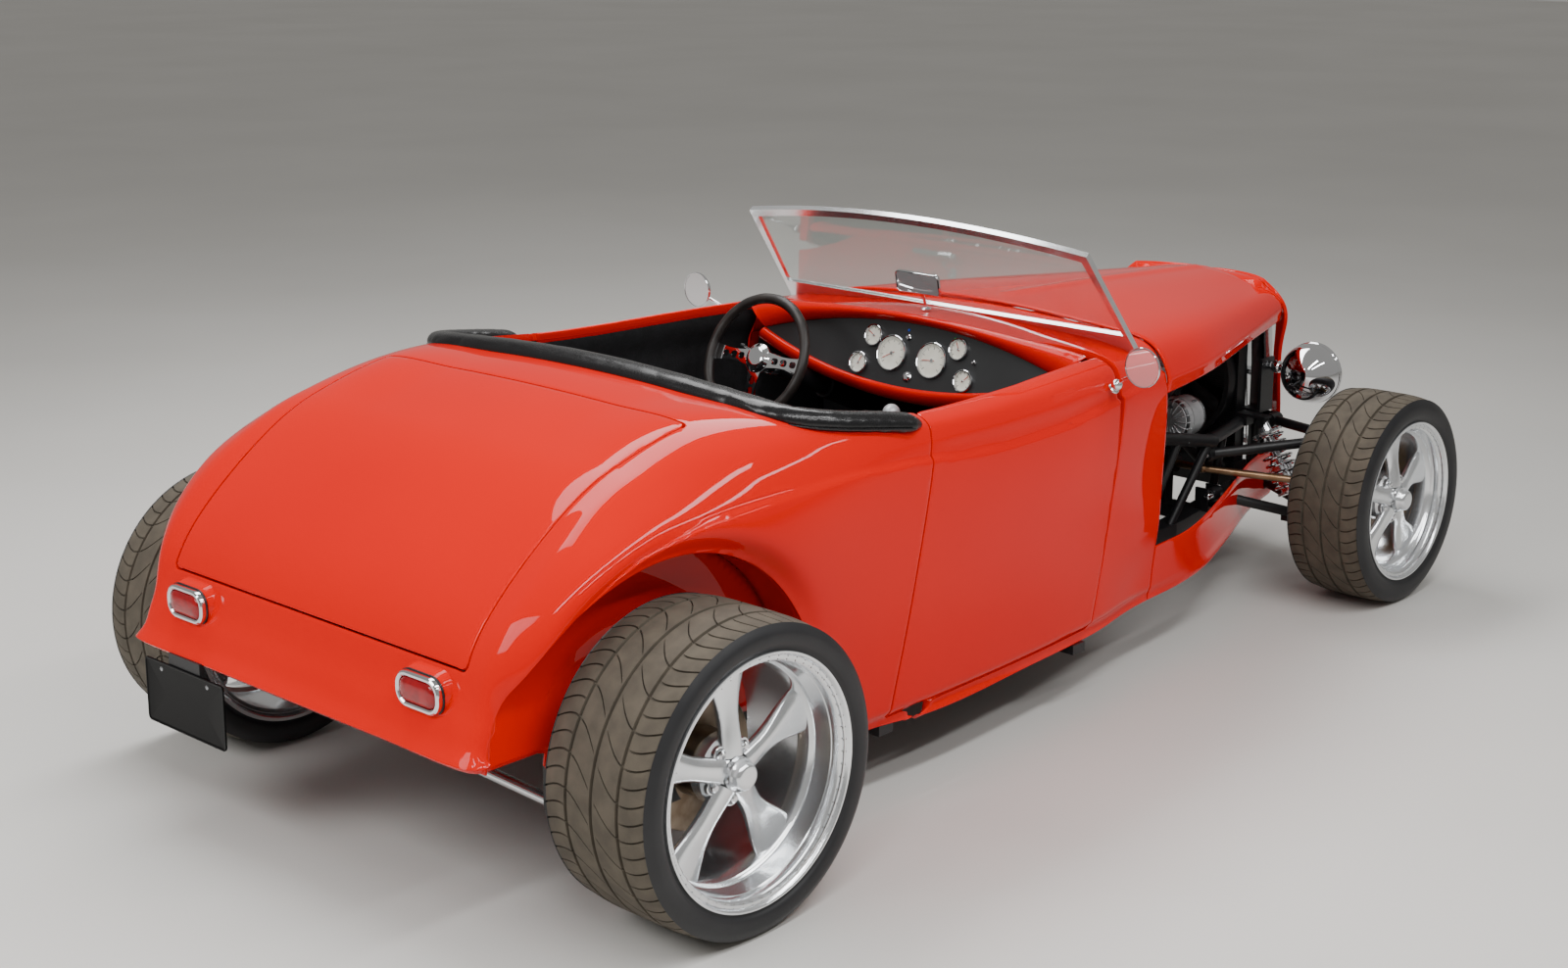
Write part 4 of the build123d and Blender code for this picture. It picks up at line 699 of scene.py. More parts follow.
def cardY(s, z):
    # Half width of the trim: the skin's foot and belt widths less the wall, in to the rail at the top.
    row = naturalSpline(bodyTable[:, 0], bodyTable[:, 1:], s.ravel()).reshape(*s.shape, 7)
    foot, belt = row[..., 1] + body["pivotZ"], row[..., 3] + body["pivotZ"]
    rise = smoothStep((z - foot) / (belt - foot) * 0.9)
    side = row[..., 0] + (row[..., 2] - row[..., 0]) * rise - inside["cardIn"]
    return side + (railY(s) - 3 - side) * smoothStep((z - belt + 40) / 90)


railZ = skinAt(rowsS, railY(rowsS))
for side, sign in (("right", -1), ("left", 1)):
    lean = math.atan2(body["doorHighS"] - body["doorLowS"], body["doorHighZ"] - body["doorLowZ"])
    drop = np.array([(0, -1), (2, -5), (1, -16), (-2, -inside["lipDrop"] + 6), (-9, -inside["lipDrop"])])
    p = np.stack([np.broadcast_to(rowsS[:, None], (len(rowsS), len(drop))),
                  railY(rowsS)[:, None] - drop[None, :, 0] - 1, railZ[:, None] + drop[None, :, 1]], -1)
    keep = (rowsS > 800) & (rowsS < 1522)
    top = surface((p[keep] * [1, -1, 1])[:, ::-1])
    buildPiece(f"doorTop_{side}", [top if side == "right" else mirrored(top)], f"door_{side}",
               "redEnamelClearcoated", thick=3, recalc=False, weld=0, angle=180)

    def boardPoint(s, z):
        return np.stack([s, -cardY(s, z), z], -1)

    def boardField(p):
        limit = np.interp(p[..., 0], rowsS, railZ) - 26
        return roundMax(16, doorField(p) + 16, p[..., 2] - limit, inside["cardLow"] - p[..., 2])

    points, faces = cutPanel(boardPoint, spaced((690, 1580, 58)), spaced((250, 880, 42)), boardField)
    board = (points, [row[::-1] for row in faces], 0)
    buildPiece(f"doorBoard_{side}", [board if side == "right" else mirrored(board)], f"door_{side}",
               "carpetBlackTufted", thick=4, bevel=1.5, recalc=False, weld=0, angle=180)


def liningField(p):
    # Cabin lining in front of the doors and behind them, short of their gaps.
    limit = np.interp(p[..., 0], [446, 700, 1500, 1846], [850, 850, 850, 830])
    return roundMax(10, p[..., 2] - limit, inside["cardLow"] - 6 - p[..., 2], 12 - doorField(p))


points, faces = cutPanel(boardPoint, spaced((446, 1842, 72)), spaced((250, 880, 34)), liningField)
buildPiece("cabinLining", bothSides([(points, [row[::-1] for row in faces], 0)]), "car", "carpetBlackTufted",
           thick=3, recalc=False, weld=0, angle=180)

# Flange that closes the firewall against the body's sides
z = np.linspace(256, 846, 40)
row = skinPoint(np.full(200, 1850.0), np.linspace(0, 5, 200))
outer = np.interp(z, row[:, 2], np.abs(row[:, 1])) - 16
flangeY = 514 + np.linspace(0, 1, 5)[None] * (outer[:, None] - 514)
flange = np.stack(np.broadcast_arrays(1850.0, -flangeY, z[:, None]), -1)
buildPiece("firewallFlanges", bothSides([surface(flange)]), "car", "carpetBlackTufted", thick=3,
           recalc=False, weld=0, angle=180)
print("stage: inside of the body")

# Wheels. Sizes in mm; the offsets are from the wheel's own middle plane, outboard positive.
wheels = {
    "rear": {"s": 0.0, "track": car["rearTrack"], "r": 333.0, "w": 304.0, "lip": 270.0,
             "barrel": 252.0, "spokeIn": 92.0, "disc": 150.0, "pitches": 58, "caliper": -1},
    "front": {"s": car["wheelbase"], "track": car["frontTrack"], "r": 306.0, "w": 248.0, "lip": 235.0,
              "barrel": 217.0, "spokeIn": 58.0, "disc": 140.0, "pitches": 54, "caliper": 1},
}
tyre = {"grooveDepth": 6.5, "cutDepth": 5.5, "cutWidth": 4.6, "grooveWidth": 9.0}


def tyreSurface(w):
    # Tyre as pitches round by profile rows: the profile is the bead, bulged wall, shoulder and
    # crown; the depth of grooves is taken off the radius, and each lateral cut's columns lean
    # round with the curve of the cut across the tread.
    half, r, lip = w["w"] / 2, w["r"], w["lip"]
    bead = half - 14.3
    wall = smoothPath([(bead - 1, w["barrel"] + 1), (bead + 2, lip + 3), (half - 1.5, lip + 13),
                       (half, (lip + r) / 2), (half - 3, r - 20), (half - 12, r - 7)], 22)
    treadHalf = half - 12
    middle = [0.0, 0.30, 0.62]
    grooves = [(c * treadHalf, tyre["grooveWidth"] / 2) for c in (0.0, 0.52)]
    rows = [0.5]
    across = []
    for centre, g in grooves:
        across += [centre - g - 0.01, centre - g + 1.2, centre + g - 1.2, centre + g + 0.01]
    across = np.array([a for a in across if a >= 0] + list(np.linspace(0.06, 0.42, 5) * treadHalf)
                      + list(np.linspace(0.62, 0.985, 7) * treadHalf))
    across = np.unique(across)
    crown = r - 9 * (across / treadHalf) ** 4
    profile = np.concatenate([np.stack([across, crown], 1), wall[::-1]])
    profile = np.concatenate([profile[::-1] * [-1, 1], profile])
    profile = profile[np.r_[True, np.abs(np.diff(profile[:, 0])) + np.abs(np.diff(profile[:, 1])) > 1e-6]]
    a, rad = profile[:, 0], profile[:, 1]
    tread = np.abs(a) < treadHalf - 1
    inGroove = np.zeros(len(a), bool)
    for centre, g in grooves:
        inGroove |= np.abs(np.abs(a) - centre) < g - 0.5
    pitch = 2 * np.pi / w["pitches"]
    cut = tyre["cutWidth"] / r
    columns = np.array([0, 0.12 * cut, 0.88 * cut, cut, cut + (pitch - cut) * 0.33,
                        cut + (pitch - cut) * 0.67])
    deep = np.array([0, 1, 1, 0, 0, 0], bool)
    turn = (np.arange(w["pitches"])[:, None] * pitch + columns[None, :]).ravel()
    isCut = np.tile(deep, w["pitches"])
    number = np.repeat(np.arange(w["pitches"]), len(columns))
    share = a / treadHalf
    lean = pitch * (1.5 * share + 1.1 * np.sin(np.pi * share)) * (np.abs(a) < half + 20)
    lean = np.where(np.abs(share) > 1, np.sign(share) * 1.5 * pitch, lean)
    ring = turn[:, None] + lean[None, :]
    rib = (np.abs(share) > 0.6) | ((np.abs(share) > 0.12) & (number[:, None] % 2 == 0))
    cutHere = isCut[:, None] & tread[None, :] & rib & ~inGroove[None, :]
    edge = np.clip((np.abs(share) - 0.9) / 0.1, 0, 1)
    radius = (rad[None, :] - tyre["cutDepth"] * cutHere * (1 - 0.35 * edge)
              - tyre["grooveDepth"] * inGroove[None, :])
    points = np.stack([np.cos(ring) * radius, np.broadcast_to(a, ring.shape), np.sin(ring) * radius], -1)
    dusty = (tread[:-1] & tread[1:])
    return points, dusty


def onWheel(points, w, side):
    # Wheel-local points (forward, outboard, up) to the car: side is -1 right, 1 left.
    points = np.asarray(points, float)
    return points * np.array([1, side, 1]) + np.array([w["s"], side * w["track"] / 2, w["r"]])


def spokeSurface(w, angle):
    # One spoke as sections along a radius: broad at the hub, waisted, flared into the barrel;
    # each section is a crowned front with rounded flanks and a flat back.
    edge = w["w"] / 2 - 6
    step = edge - w["spokeIn"]
    radii = np.linspace(36, w["barrel"] - 9, 26)
    f = (radii - radii[0]) / (radii[-1] - radii[0])
    waist = 8 * np.sin(np.pi * np.clip(f * 1.02, 0, 1)) ** 0.9
    width = 58 - waist + 58 * smoothStep((f - 0.25) / 0.75) ** 1.2
    front = step + 20 - 15 * smoothStep(f * 1.15) - 6 * np.sin(np.pi * f)
    thick = 34 - 6 * f
    turn = np.linspace(0, 2 * np.pi, 28, endpoint=False)
    across = np.sign(np.cos(turn)) * np.abs(np.cos(turn)) ** 0.75
    rise = np.where(np.sin(turn) > 0, np.abs(np.sin(turn)) ** 1.15, -np.abs(np.sin(turn)) ** 0.6)
    y = front[:, None] - thick[:, None] / 2 + rise[None, :] * thick[:, None] / 2
    x = across[None, :] * width[:, None] / 2
    r = np.broadcast_to(radii[:, None], x.shape)
    c, s_ = math.cos(angle), math.sin(angle)
    return np.stack([r * c - x * s_, y, r * s_ + x * c], -1)


def wheelLathe(profile, steps=128):
    # Outboard and radius profile turned about the wheel's own axle, in wheel-local points.
    points, faces, _ = lathe(profile, (0, 0, 0), (0, 1, 0), steps)
    return points, faces


for end, w in wheels.items():
    half, lip, b = w["w"] / 2, w["lip"], w["barrel"]
    edge = half - 6
    step = edge - w["spokeIn"]
    rimProfile = smoothPath([(edge - 9, lip - 1), (edge - 1, lip - 0.2), (edge + 0.2, lip - 3),
                             (edge - 1, lip - 7), (edge - 7, lip - 11), (edge - 12, lip - 14),
                             (edge - 14, b - 6), (edge - 20, b - 8)], 22)
    inner = np.array([(edge - 34, b - 9), (edge - 36, b - 10.5), (step + 16, b - 12), (step + 10, b - 14.5),
                      (step + 4, b - 21), (step - 6, b - 24), (step - 26, b - 24), (step - 34, b - 14),
                      (14 - edge, b - 9), (5 - edge, lip - 12), (-edge, lip - 8), (-edge, lip),
                      (8 - edge, lip), (8 - edge, b), (edge - 8, b), (edge - 8, lip - 1)])
    barrel = np.concatenate([rimProfile, inner, rimProfile[:1]])
    hub = [(step + 20, 0), (step + 20, 30), (step + 14, 38), (step + 7, 42), (step + 2, 46), (step + 1, 50),
           (step - 1, 60), (step - 6, 70), (step - 14, 75), (step - 40, 75), (step - 44, 70),
           (step - 44, 22), (step - 20, 22), (step - 20, 0)]
    cap = smoothPath([(step + 14, 37), (step + 30, 36.5), (step + 33, 35), (step + 38, 32), (step + 46, 29),
                      (step + 51, 25), (step + 52.4, 20), (step + 52.5, 10), (step + 52.5, 0)], 22)
    discProfile = [(step - 44, 22), (step - 44, 64), (step - 48, 70), (-40, 74), (-40, w["disc"] - 1),
                   (-41, w["disc"]), (-49, w["disc"]), (-49, w["disc"] - 8), (-53, w["disc"] - 8),
                   (-53, w["disc"]), (-61, w["disc"]), (-62, w["disc"] - 1), (-62, 60), (step - 52, 60),
                   (step - 52, 22)]
    for name, side in (("right", -1), ("left", 1)):
        ride = f"wheel_{end}_{name}"
        points, dusty = tyreSurface(w)
        flat = onWheel(points.reshape(-1, 3), w, side)
        faces = gridFaces(points.shape[0], points.shape[1], True, False)
        which = np.tile(dusty, points.shape[0])
        buildPiece(f"tyreTread_{end}_{name}", [(flat, faces[which], 0), (flat, faces[~which], 1)], ride,
                   ["rubberTreadDusty", "rubberMoulded"], [f"tyre_{end}_{name}"], angle=32)
        metal = []
        for profile in (barrel, hub, cap):
            p, f = wheelLathe(profile)
            metal.append((onWheel(p, w, side), f, 0))
        for k in range(5):
            grid = spokeSurface(w, math.pi / 2 + k * 2 * math.pi / 5)
            p, f, _ = surface(grid, wrapColumns=True)
            metal.append((onWheel(p, w, side), f, 0))
            turn = math.pi / 2 + (k + 0.5) * 2 * math.pi / 5
            nut = [(step - 8, 11), (step + 6, 11), (step + 11, 9.5), (step + 14, 6), (step + 14, 0)]
            p, f, _ = lathe(nut, (57 * math.cos(turn), 0, 57 * math.sin(turn)), (0, 1, 0), 12)
            metal.append((onWheel(p, w, side), f, 1))
            seat = [(step - 6, 17), (step + 3, 17), (step + 4, 16), (step + 4, 13), (step - 1, 12)]
            p, f, _ = lathe(seat, (57 * math.cos(turn), 0, 57 * math.sin(turn)), (0, 1, 0), 20)
            metal.append((onWheel(p, w, side), f, 0))
        turn = math.pi / 2 + 0.62
        stem = [(edge - 62, 5.5), (edge - 44, 5.2), (edge - 42, 4), (edge - 34, 4), (edge - 33, 0)]
        p, f, _ = lathe(stem, ((b - 18) * math.cos(turn), 0, (b - 18) * math.sin(turn)), (0.0, 1, 0), 14)
        metal.append((onWheel(p, w, side), f, 1))
        buildPiece(f"wheelAlloy_{end}_{name}", metal, ride, ["aluminiumPolished", "chromePlated"],
                   [f"rim_{end}_{name}"], angle=28)
        p, f = wheelLathe(discProfile, 96)
        buildPiece(f"brakeDisc_{end}_{name}", [(onWheel(p, w, side), f, 0)], ride, "ironGround",
                   angle=30)
        # Caliper: a rounded bridge over the disc, on the body that doesn't turn
        arc = np.linspace(-0.42, 0.42, 22)[:, None] + (0 if w["caliper"] > 0 else math.pi)
        ring = np.array([(-80, -46), (-84, -10), (-84, 22), (-76, 30), (-26, 30), (-18, 22), (-18, -10),
                         (-22, -46), (-34, -46), (-34, 8), (-68, 8), (-68, -46)], float)
        radius = w["disc"] + ring[None, :, 1]
        grid = np.stack([np.cos(arc) * radius, np.broadcast_to(ring[:, 0], radius.repeat(22, 0).shape),
                         np.sin(arc) * radius], -1)
        grid = np.concatenate([grid[:1].mean(1, keepdims=True).repeat(len(ring), 1), grid,
                               grid[-1:].mean(1, keepdims=True).repeat(len(ring), 1)])
        p, f, _ = surface(grid, wrapColumns=True)
        buildPiece(f"brakeCaliper_{end}_{name}", [(onWheel(p, w, side), f, 0)],
                   "car" if end == "rear" else f"knuckle_{name}", "caliperGoldPlated", angle=40)
print("stage: wheels")

# Hood: the same kind of skin as the body. Columns: s, foot y, foot h, belt y, belt h, top y, top h, crown h
hoodTable = np.array([
    (1885, 604, 758, 608, 794, 540, 884, 927), (2150, 552, 758, 556, 792, 474, 876, 919),
    (2500, 444, 757, 448, 788, 364, 862, 904), (2960, 298, 754, 302, 796, 222, 840, 878),
], float)


def hoodPoint(along, t):
    # Hood skin: upright sections, with a soft peak down the middle and a roll along each foot.
    shape = along.shape
    yh = sectionPoints(hoodTable, along.ravel(), t.ravel(), 0.012, 0.13).reshape(*shape, 2)
    peak = 5 * np.exp(-(yh[..., 0] / 26) ** 2) * smoothStep((along - 1900) / 200)
    return np.stack([along, -yh[..., 0], yh[..., 1] + peak], -1)


hoodSpan = np.linspace(1886, 2962, 64)
hoodAcross = np.unique(np.concatenate([spaced((0, 2, 6), (2, 4, 26), (4, 6, 30)),
                                       12 - spaced((0, 2, 6), (2, 4, 26), (4, 6, 30))]).round(9))
a, u = np.meshgrid(hoodSpan, hoodAcross, indexing="ij")
p, f, _ = surface(hoodPoint(a, u))
buildPiece("hoodSkin", [(p, f[:, ::-1], 0)], "hood", "redEnamelClearcoated", ["hood"], thick=9,
           bevel=3.5, recalc=False, angle=40)

# Grille surround by height. Columns: z, rear s, half width, nose s
noseTable = np.array([(202, 3060, 244, 3140), (300, 3048, 256, 3133), (450, 3028, 272, 3118),
                      (700, 2995, 292, 3090), (820, 2974, 286, 3068), (868, 2968, 226, 3040)], float)
grille = {"rim": 42.0, "bow": 0.12}


def noseRows(z):
    # Rear, half width and nose of the surround at each height, as a smooth curve of height.
    return naturalSpline(noseTable[:, 0], noseTable[:, 1:], np.asarray(z, float))


def noseSurface(z, v, inward=0.0):
    # Plan section of the nose at heights z: v runs -1 to 1 over two bowed sides that meet in a
    # soft prow.
    row = noseRows(z)
    rear, half, nose = row[..., 0], row[..., 1], row[..., 2]
    q = np.abs(v)
    x = nose - inward - (nose - rear) * q
    length = np.hypot(nose - rear, half)
    bow = 4 * grille["bow"] * length * q * (1 - q)
    s = x + bow * half / length
    y = (half * q + bow * (nose - rear) / length) * np.sign(v)
    round_ = 6 * np.exp(-(q / 0.05) ** 2)
    return np.stack([s - round_, y, np.broadcast_to(z, s.shape)], -1)


def grilleField(p):
    # Distance outside the opening of the surround, seen from the front.
    y, z = np.abs(p[..., 1]), p[..., 2]
    half = np.interp(z, noseTable[:, 0], noseTable[:, 2])
    return roundMax(60, y - half + grille["rim"], 202 + grille["rim"] - z, z - 868 + grille["rim"] + 0.10 * y)


noseHeights = spaced((204, 820, 60), (820, 866, 8))
noseAcross = spaced((-1, 1, 80))
points, faces = cutPanel(lambda z, v: noseSurface(z, v), noseHeights, noseAcross, lambda p: -grilleField(p))
buildPiece("grilleShellSkin", [(points, faces, 0)], "car", "redEnamelClearcoated", ["grille_shell"],
           thick=12, bevel=4, recalc=False, weld=0, angle=180)

# Cap of the surround: from its upper edge back to just before the hood's front edge, over the corners too
lipRow = hoodPoint(np.full(200, 2966.0), np.linspace(2.1, 6, 200))[::-1]
along = np.linspace(0, 1, 60)
corner = np.clip(along / 0.35, 0, 1)
edge = noseSurface(800 + 66 * corner, np.clip((along - 0.35) / 0.65, 0, 1) - 1)
lipY = np.where(along < 0.35, 301 - 79 * corner, np.abs(edge[:, 1]) * 222 / 226)
lipEdge = np.stack([np.full(60, 2966.0), -lipY, np.interp(lipY, -lipRow[:, 1], lipRow[:, 2])], -1)
share = np.linspace(0, 1, 8)[:, None, None]
cap = edge + share * (lipEdge - edge) + np.sin(share * np.pi) * np.array([0, 0, 3.0])
buildPiece("surroundCap", bothSides([surface(cap)]), "car", "redEnamelClearcoated", thick=3,
           recalc=False, angle=180)

# Side aprons. Columns: s, half width
apronTable = np.array([(1886, 606), (2010, 592), (2337, 496), (2600, 398), (2851, 305), (3030, 259)], float)
s = np.linspace(1882.5, 3028, 90)[:, None]
z = np.array([181, 184, 192, 204, 214, 226, 260, 300, 318, 328, 333, 334.5])
out = np.array([-6, 2, 9, 9, 3, 0, 0, 0, -1, -4, -9, -13]) * 0.6
foot = skinPoint(np.full(60, 1879.0), np.linspace(0, 1.6, 60))
away = smoothStep((s - 1890) / 420)
start = np.interp(z, foot[:, 2], np.abs(foot[:, 1])) - apronTable[0, 1]
y = naturalSpline(apronTable[:, 0], apronTable[:, 1:], s[:, 0]) + out * away + start * (1 - away)
grid = np.stack(np.broadcast_arrays(s, -y, z), -1)
p, f, _ = surface(grid)
buildPiece("sideAprons", bothSides([(p, f, 0)]), "car", "redEnamelClearcoated", ["side_aprons"],
           thick=6, bevel=1.5, recalc=False, angle=40)
print("stage: hood and nose")

# Gauges. Columns: y, height on the dash, radius, needle's turn in degrees
gaugeRows = [(49, -7, 50, -120), (-90, -8, 50, -95), (123, 32, 31, -60), (157, -48, 31, 20),
             (-170, 34, 31, -30), (-206, -46, 31, 45)]
gauge = {"stand": 9.0, "bezel": 5.5, "ticks": 40, "sweep": 270.0, "dial": 3.2,
         "knobs": [(-18, -63, 14), (4, 42, 8), (-228, 6, 6)]}
lampDots = [(10, 62, 4.5, "blue"), (-150, 60, 4.5, "green")]


def flatBars(place, angle, near, far, width, h0, h1, finish):
    # Thin flat bars on a dial, one for each angle: a box from near to far along its own ray.
    angle = np.atleast_1d(np.radians(angle))[:, None]
    along = np.array([near, far, far, near] * 2)
    across = np.array([-1, -1, 1, 1] * 2) * width / 2
    x = along * np.sin(angle) + across * np.cos(angle)
    h = along * np.cos(angle) - across * np.sin(angle)
    n = np.broadcast_to(np.array([h0] * 4 + [h1] * 4, float), x.shape)
    points = place(x, h, n).reshape(-1, 3)
    box = np.array([[0, 1, 2, 3], [7, 6, 5, 4], [0, 4, 5, 1], [1, 5, 6, 2], [2, 6, 7, 3], [3, 7, 4, 0]])
    faces = (np.arange(len(angle))[:, None, None] * 8 + box[None]).reshape(-1, 4)
    return points, faces, finish


gaugePieces = []
for y, height, radius, needle in gaugeRows:
    def onDial(x, h, n, y=y, height=height):
        return onDash(np.asarray(x) - y, np.asarray(h) + height, np.asarray(n) + dash["face"])

    centre, b, top = onDial(0.0, 0.0, 0.0), gauge["bezel"], gauge["stand"]
    bezel = [(0, radius), (top - 3, radius), (top - 0.8, radius - 0.8), (top, radius - 2.5),
             (top - 0.6, radius - b + 0.6), (gauge["dial"] + 1, radius - b - 1),
             (gauge["dial"] - 1, radius - b - 1)]
    gaugePieces.append(lathe(bezel, centre, dashNormal, 56, 0))
    card = [(gauge["dial"], radius - b), (gauge["dial"], radius * 0.5), (gauge["dial"] + 0.2, 0)]
    gaugePieces.append(lathe(card, centre, dashNormal, 40, 1))
    step = gauge["sweep"] / gauge["ticks"]
    ticks = -gauge["sweep"] / 2 + step * np.arange(gauge["ticks"] + 1)
    for chosen, length, width in ((ticks, 0.1, 0.5), (ticks[::5], 0.2, 1.1)):
        gaugePieces.append(flatBars(onDial, chosen, radius * (0.8 - length), radius * 0.8, width,
                                    gauge["dial"] - 1, gauge["dial"] + 0.5, 2))
    gaugePieces.append(flatBars(onDial, needle, -radius * 0.18, radius * 0.66, 1.6, gauge["dial"] + 1.4,
                                gauge["dial"] + 2.2, 3))
    hub = [(gauge["dial"], radius * 0.11), (gauge["dial"] + 3, radius * 0.1), (gauge["dial"] + 3.6, 0)]
    gaugePieces.append(lathe(hub, centre, dashNormal, 20, 0))
for y, height, radius in gauge["knobs"]:
    knob = [(0, radius), (4, radius), (5, radius * 0.7), (9, radius * 0.66), (11, radius * 0.5), (11.5, 0)]
    gaugePieces.append(lathe(knob, onDash(-y, height, dash["face"] - 1), dashNormal, 28, 0))
for y, height, radius, colour in lampDots:
    dome = [(0, radius), (1.5, radius * 0.9), (3, radius * 0.5), (3.4, 0)]
    gaugePieces.append(lathe(dome, onDash(-y, height, dash["face"] - 1), dashNormal, 20,
                             4 if colour == "blue" else 5))
# Tinted acrylic of two warning lamps, wet-looking.
makeFinish("acrylicBlueMoulded", "#1246b8", "#0c3aa0", rough=(0.05, 0.1), cloud=20, grain=3)
makeFinish("acrylicGreenMoulded", "#0f8a3c", "#0b7a33", rough=(0.05, 0.1), cloud=20, grain=3)
# Signal-red paint on a pointer.
makeFinish("needlePaintRed", "#c3200f", "#b71c0c", rough=(0.4, 0.5), cloud=20, grain=2)
# Black ink on a dial card.
makeFinish("dialInkBlack", "#121214", "#18181a", rough=(0.6, 0.7), cloud=20, grain=2)
gaugeFinishes = ["chromePlated", "dialCardPrinted", "dialInkBlack", "needlePaintRed", "acrylicBlueMoulded",
                 "acrylicGreenMoulded"]
buildPiece("gaugeSet", gaugePieces, "car", gaugeFinishes, ["gauges"], angle=30)

# Steering wheel on its own plane: x to the left, h up the wheel, n toward the driver.
wheelOf = {"hub": (1330.0, 350.0, 800.0), "rake": 24.0, "rim": 168.0, "grip": 14.0, "boss": 34.0,
           "spoke": 23.0, "plate": 4.0, "setback": -12.0, "slots": [(62, 9), (92, 9.5), (124, 8.5)],
           "stitches": 150}
rake = math.radians(wheelOf["rake"])
wheelNormal = np.array([-math.cos(rake), 0, math.sin(rake)])
wheelUp = np.array([math.sin(rake), 0, math.cos(rake)])
onSteering = placeOn(wheelOf["hub"], (0, 1.0, 0), wheelUp, wheelNormal)


def spokeField(x, h):
    # Three arms to the left, right and foot with waisted sides, joined to the boss, less their slots.
    r = np.hypot(x, h)
    arms = []
    for dx, dh in ((1, 0), (-1, 0), (0, -1)):
        along, across = x * dx + h * dh, np.abs(x * dh - h * dx)
        half = wheelOf["spoke"] - 7 * np.sin(np.clip((along - 30) / 130, 0, 1) * np.pi)
        arm = roundMax(3, across - half, -along, r - wheelOf["rim"] + 4)
        for at, radius in wheelOf["slots"]:
            hole = np.hypot(np.maximum(np.abs(along - at) - 4, 0), np.maximum(across - 2, 0)) - radius * 0.8
            arm = np.maximum(arm, -hole)
        arms.append(arm)
    return np.minimum(np.minimum.reduce(arms), r - 42)


points, faces = cutPanel(lambda x, h: np.stack([x, 0 * x, h], -1), spaced((-170, 170, 120)),
                         spaced((-170, 60, 80)), lambda p: spokeField(p[..., 0], p[..., 2]))
dish = wheelOf["setback"] + 8 * (1 - smoothStep(np.hypot(points[:, 0], points[:, 2]) / 150))
plate = onSteering(points[:, 0], points[:, 2], dish)
back = onSteering(points[:, 0], points[:, 2], dish - wheelOf["plate"])
edgeCount = {}
for row in faces:
    for one, two in zip(row, row[1:] + row[:1]):
        edgeCount[(one, two)] = 1
rimEdges = [(one, two) for one, two in edgeCount if (two, one) not in edgeCount]
size = len(points)
spokePlate = (np.concatenate([plate, back]), faces + [[c + size for c in row[::-1]] for row in faces]
              + [[two, one, one + size, two + size] for one, two in rimEdges], 0)
turn = np.linspace(0, 2 * np.pi, 180, endpoint=False)
grip = wheelOf["grip"] * (1 + 0.025 * np.cos(turn * 18))
rimPath = onSteering(wheelOf["rim"] * np.cos(turn), wheelOf["rim"] * np.sin(turn), 0 * turn)
boss = [(-50, 9), (-46, 24), (-34, wheelOf["boss"]), (-14, wheelOf["boss"]), (-10, 41), (-6, 42), (-3, 38),
        (2, 31), (6, 30), (8, 27), (9, 20), (9.6, 0)]
boltHead = [(-6, 3.4), (-2.6, 3.2), (-2, 2.2), (-1.8, 0)]
bossBolts = [lathe(boltHead, onSteering(36.5 * math.cos(b), 36.5 * math.sin(b), 0.0),
                   wheelNormal, 8, 0) for b in np.arange(6) * np.pi / 3 + np.pi / 6]
shaft = lathe([(-54, 9), (-54, 9), (-144, 9), (-144, 0)], onSteering(0.0, 0.0, 0.0), wheelNormal, 24, 0)
buildPiece("steeringWheelFace", [spokePlate, lathe(boss, onSteering(0.0, 0.0, 0.0), wheelNormal, 56, 0),
                                 shaft] + bossBolts,
           "steering_wheel", ["chromePlated"], ["steering_wheel"], angle=30)
buildPiece("steeringWheelRim", [tube(rimPath, grip, 20, 0, closed=True)], "steering_wheel",
           ["leatherWrapped"])
# Cross-stitching along the rim's inside
stitchTurn = np.linspace(0, 2 * np.pi, wheelOf["stitches"] * 2, endpoint=False)
zig = np.where(np.arange(len(stitchTurn)) % 2, 1.0, -1.0)
inner = wheelOf["rim"] - wheelOf["grip"] - 0.3
stitchPath = onSteering(inner * np.cos(stitchTurn), inner * np.sin(stitchTurn), zig * 2.2)
buildPiece("rimStitching", [tube(stitchPath, 0.8, 5, 0, closed=True)], "steering_wheel", ["hoseRubberBlack"])

# Column: chrome collar under the wheel, two stalks and a rubber boot at the firewall.
columnParts = [lathe([(-62, 0), (-62, 27.5), (-66, 29), (-84, 29), (-88, 27)], onSteering(0.0, 0.0, 0.0),
                     wheelNormal, 40, 0)]
for x0, h0, x1, h1 in ((24, 8, 118, 34), (-24, -6, -92, -18)):
    ends = onSteering(np.array([x0, x1 * 0.6, x1]), np.array([h0, h1 * 0.6, h1]), np.array([-76.0, -74, -62]))
    columnParts.append(tube(smoothPath(ends, 12), 3.6, 10, 0))
    tip = [(-8, 0), (-7, 5), (0, 6.5), (6, 5), (8, 0)]
    columnParts.append(lathe(tip, ends[-1], ends[-1] - ends[0], 16, 1))
foot = onSteering(0.0, 0.0, -540.0)
columnParts.append(lathe([(0, 35), (-4, 44), (-8, 35.5), (-12, 46), (-16, 36), (-20, 49), (-24, 36.5)],
                         foot, wheelNormal, 36, 1))
buildPiece("columnTrim", columnParts, "car", ["chromePlated", "hoseRubberBlack"], angle=30)

# Gear lever: a pleated boot on the tunnel.
pleats = [(8 + 8 * i + d, r - 4.6 * i) for i in range(8) for d, r in ((0, 49), (4, 52))]
boot = [(0, 58), (3, 60), (6, 56)] + pleats + [(76, 9)]
leverFoot = np.array([1380.0, -40, 402])
leverLine = np.array([1440.0, -40, 690]) - leverFoot
buildPiece("gearLeverBoot", [lathe(boot, leverFoot, leverLine, 40, 0)], "car", ["leatherWrapped"],
           subdivide=1)
print("stage: controls and gauges")


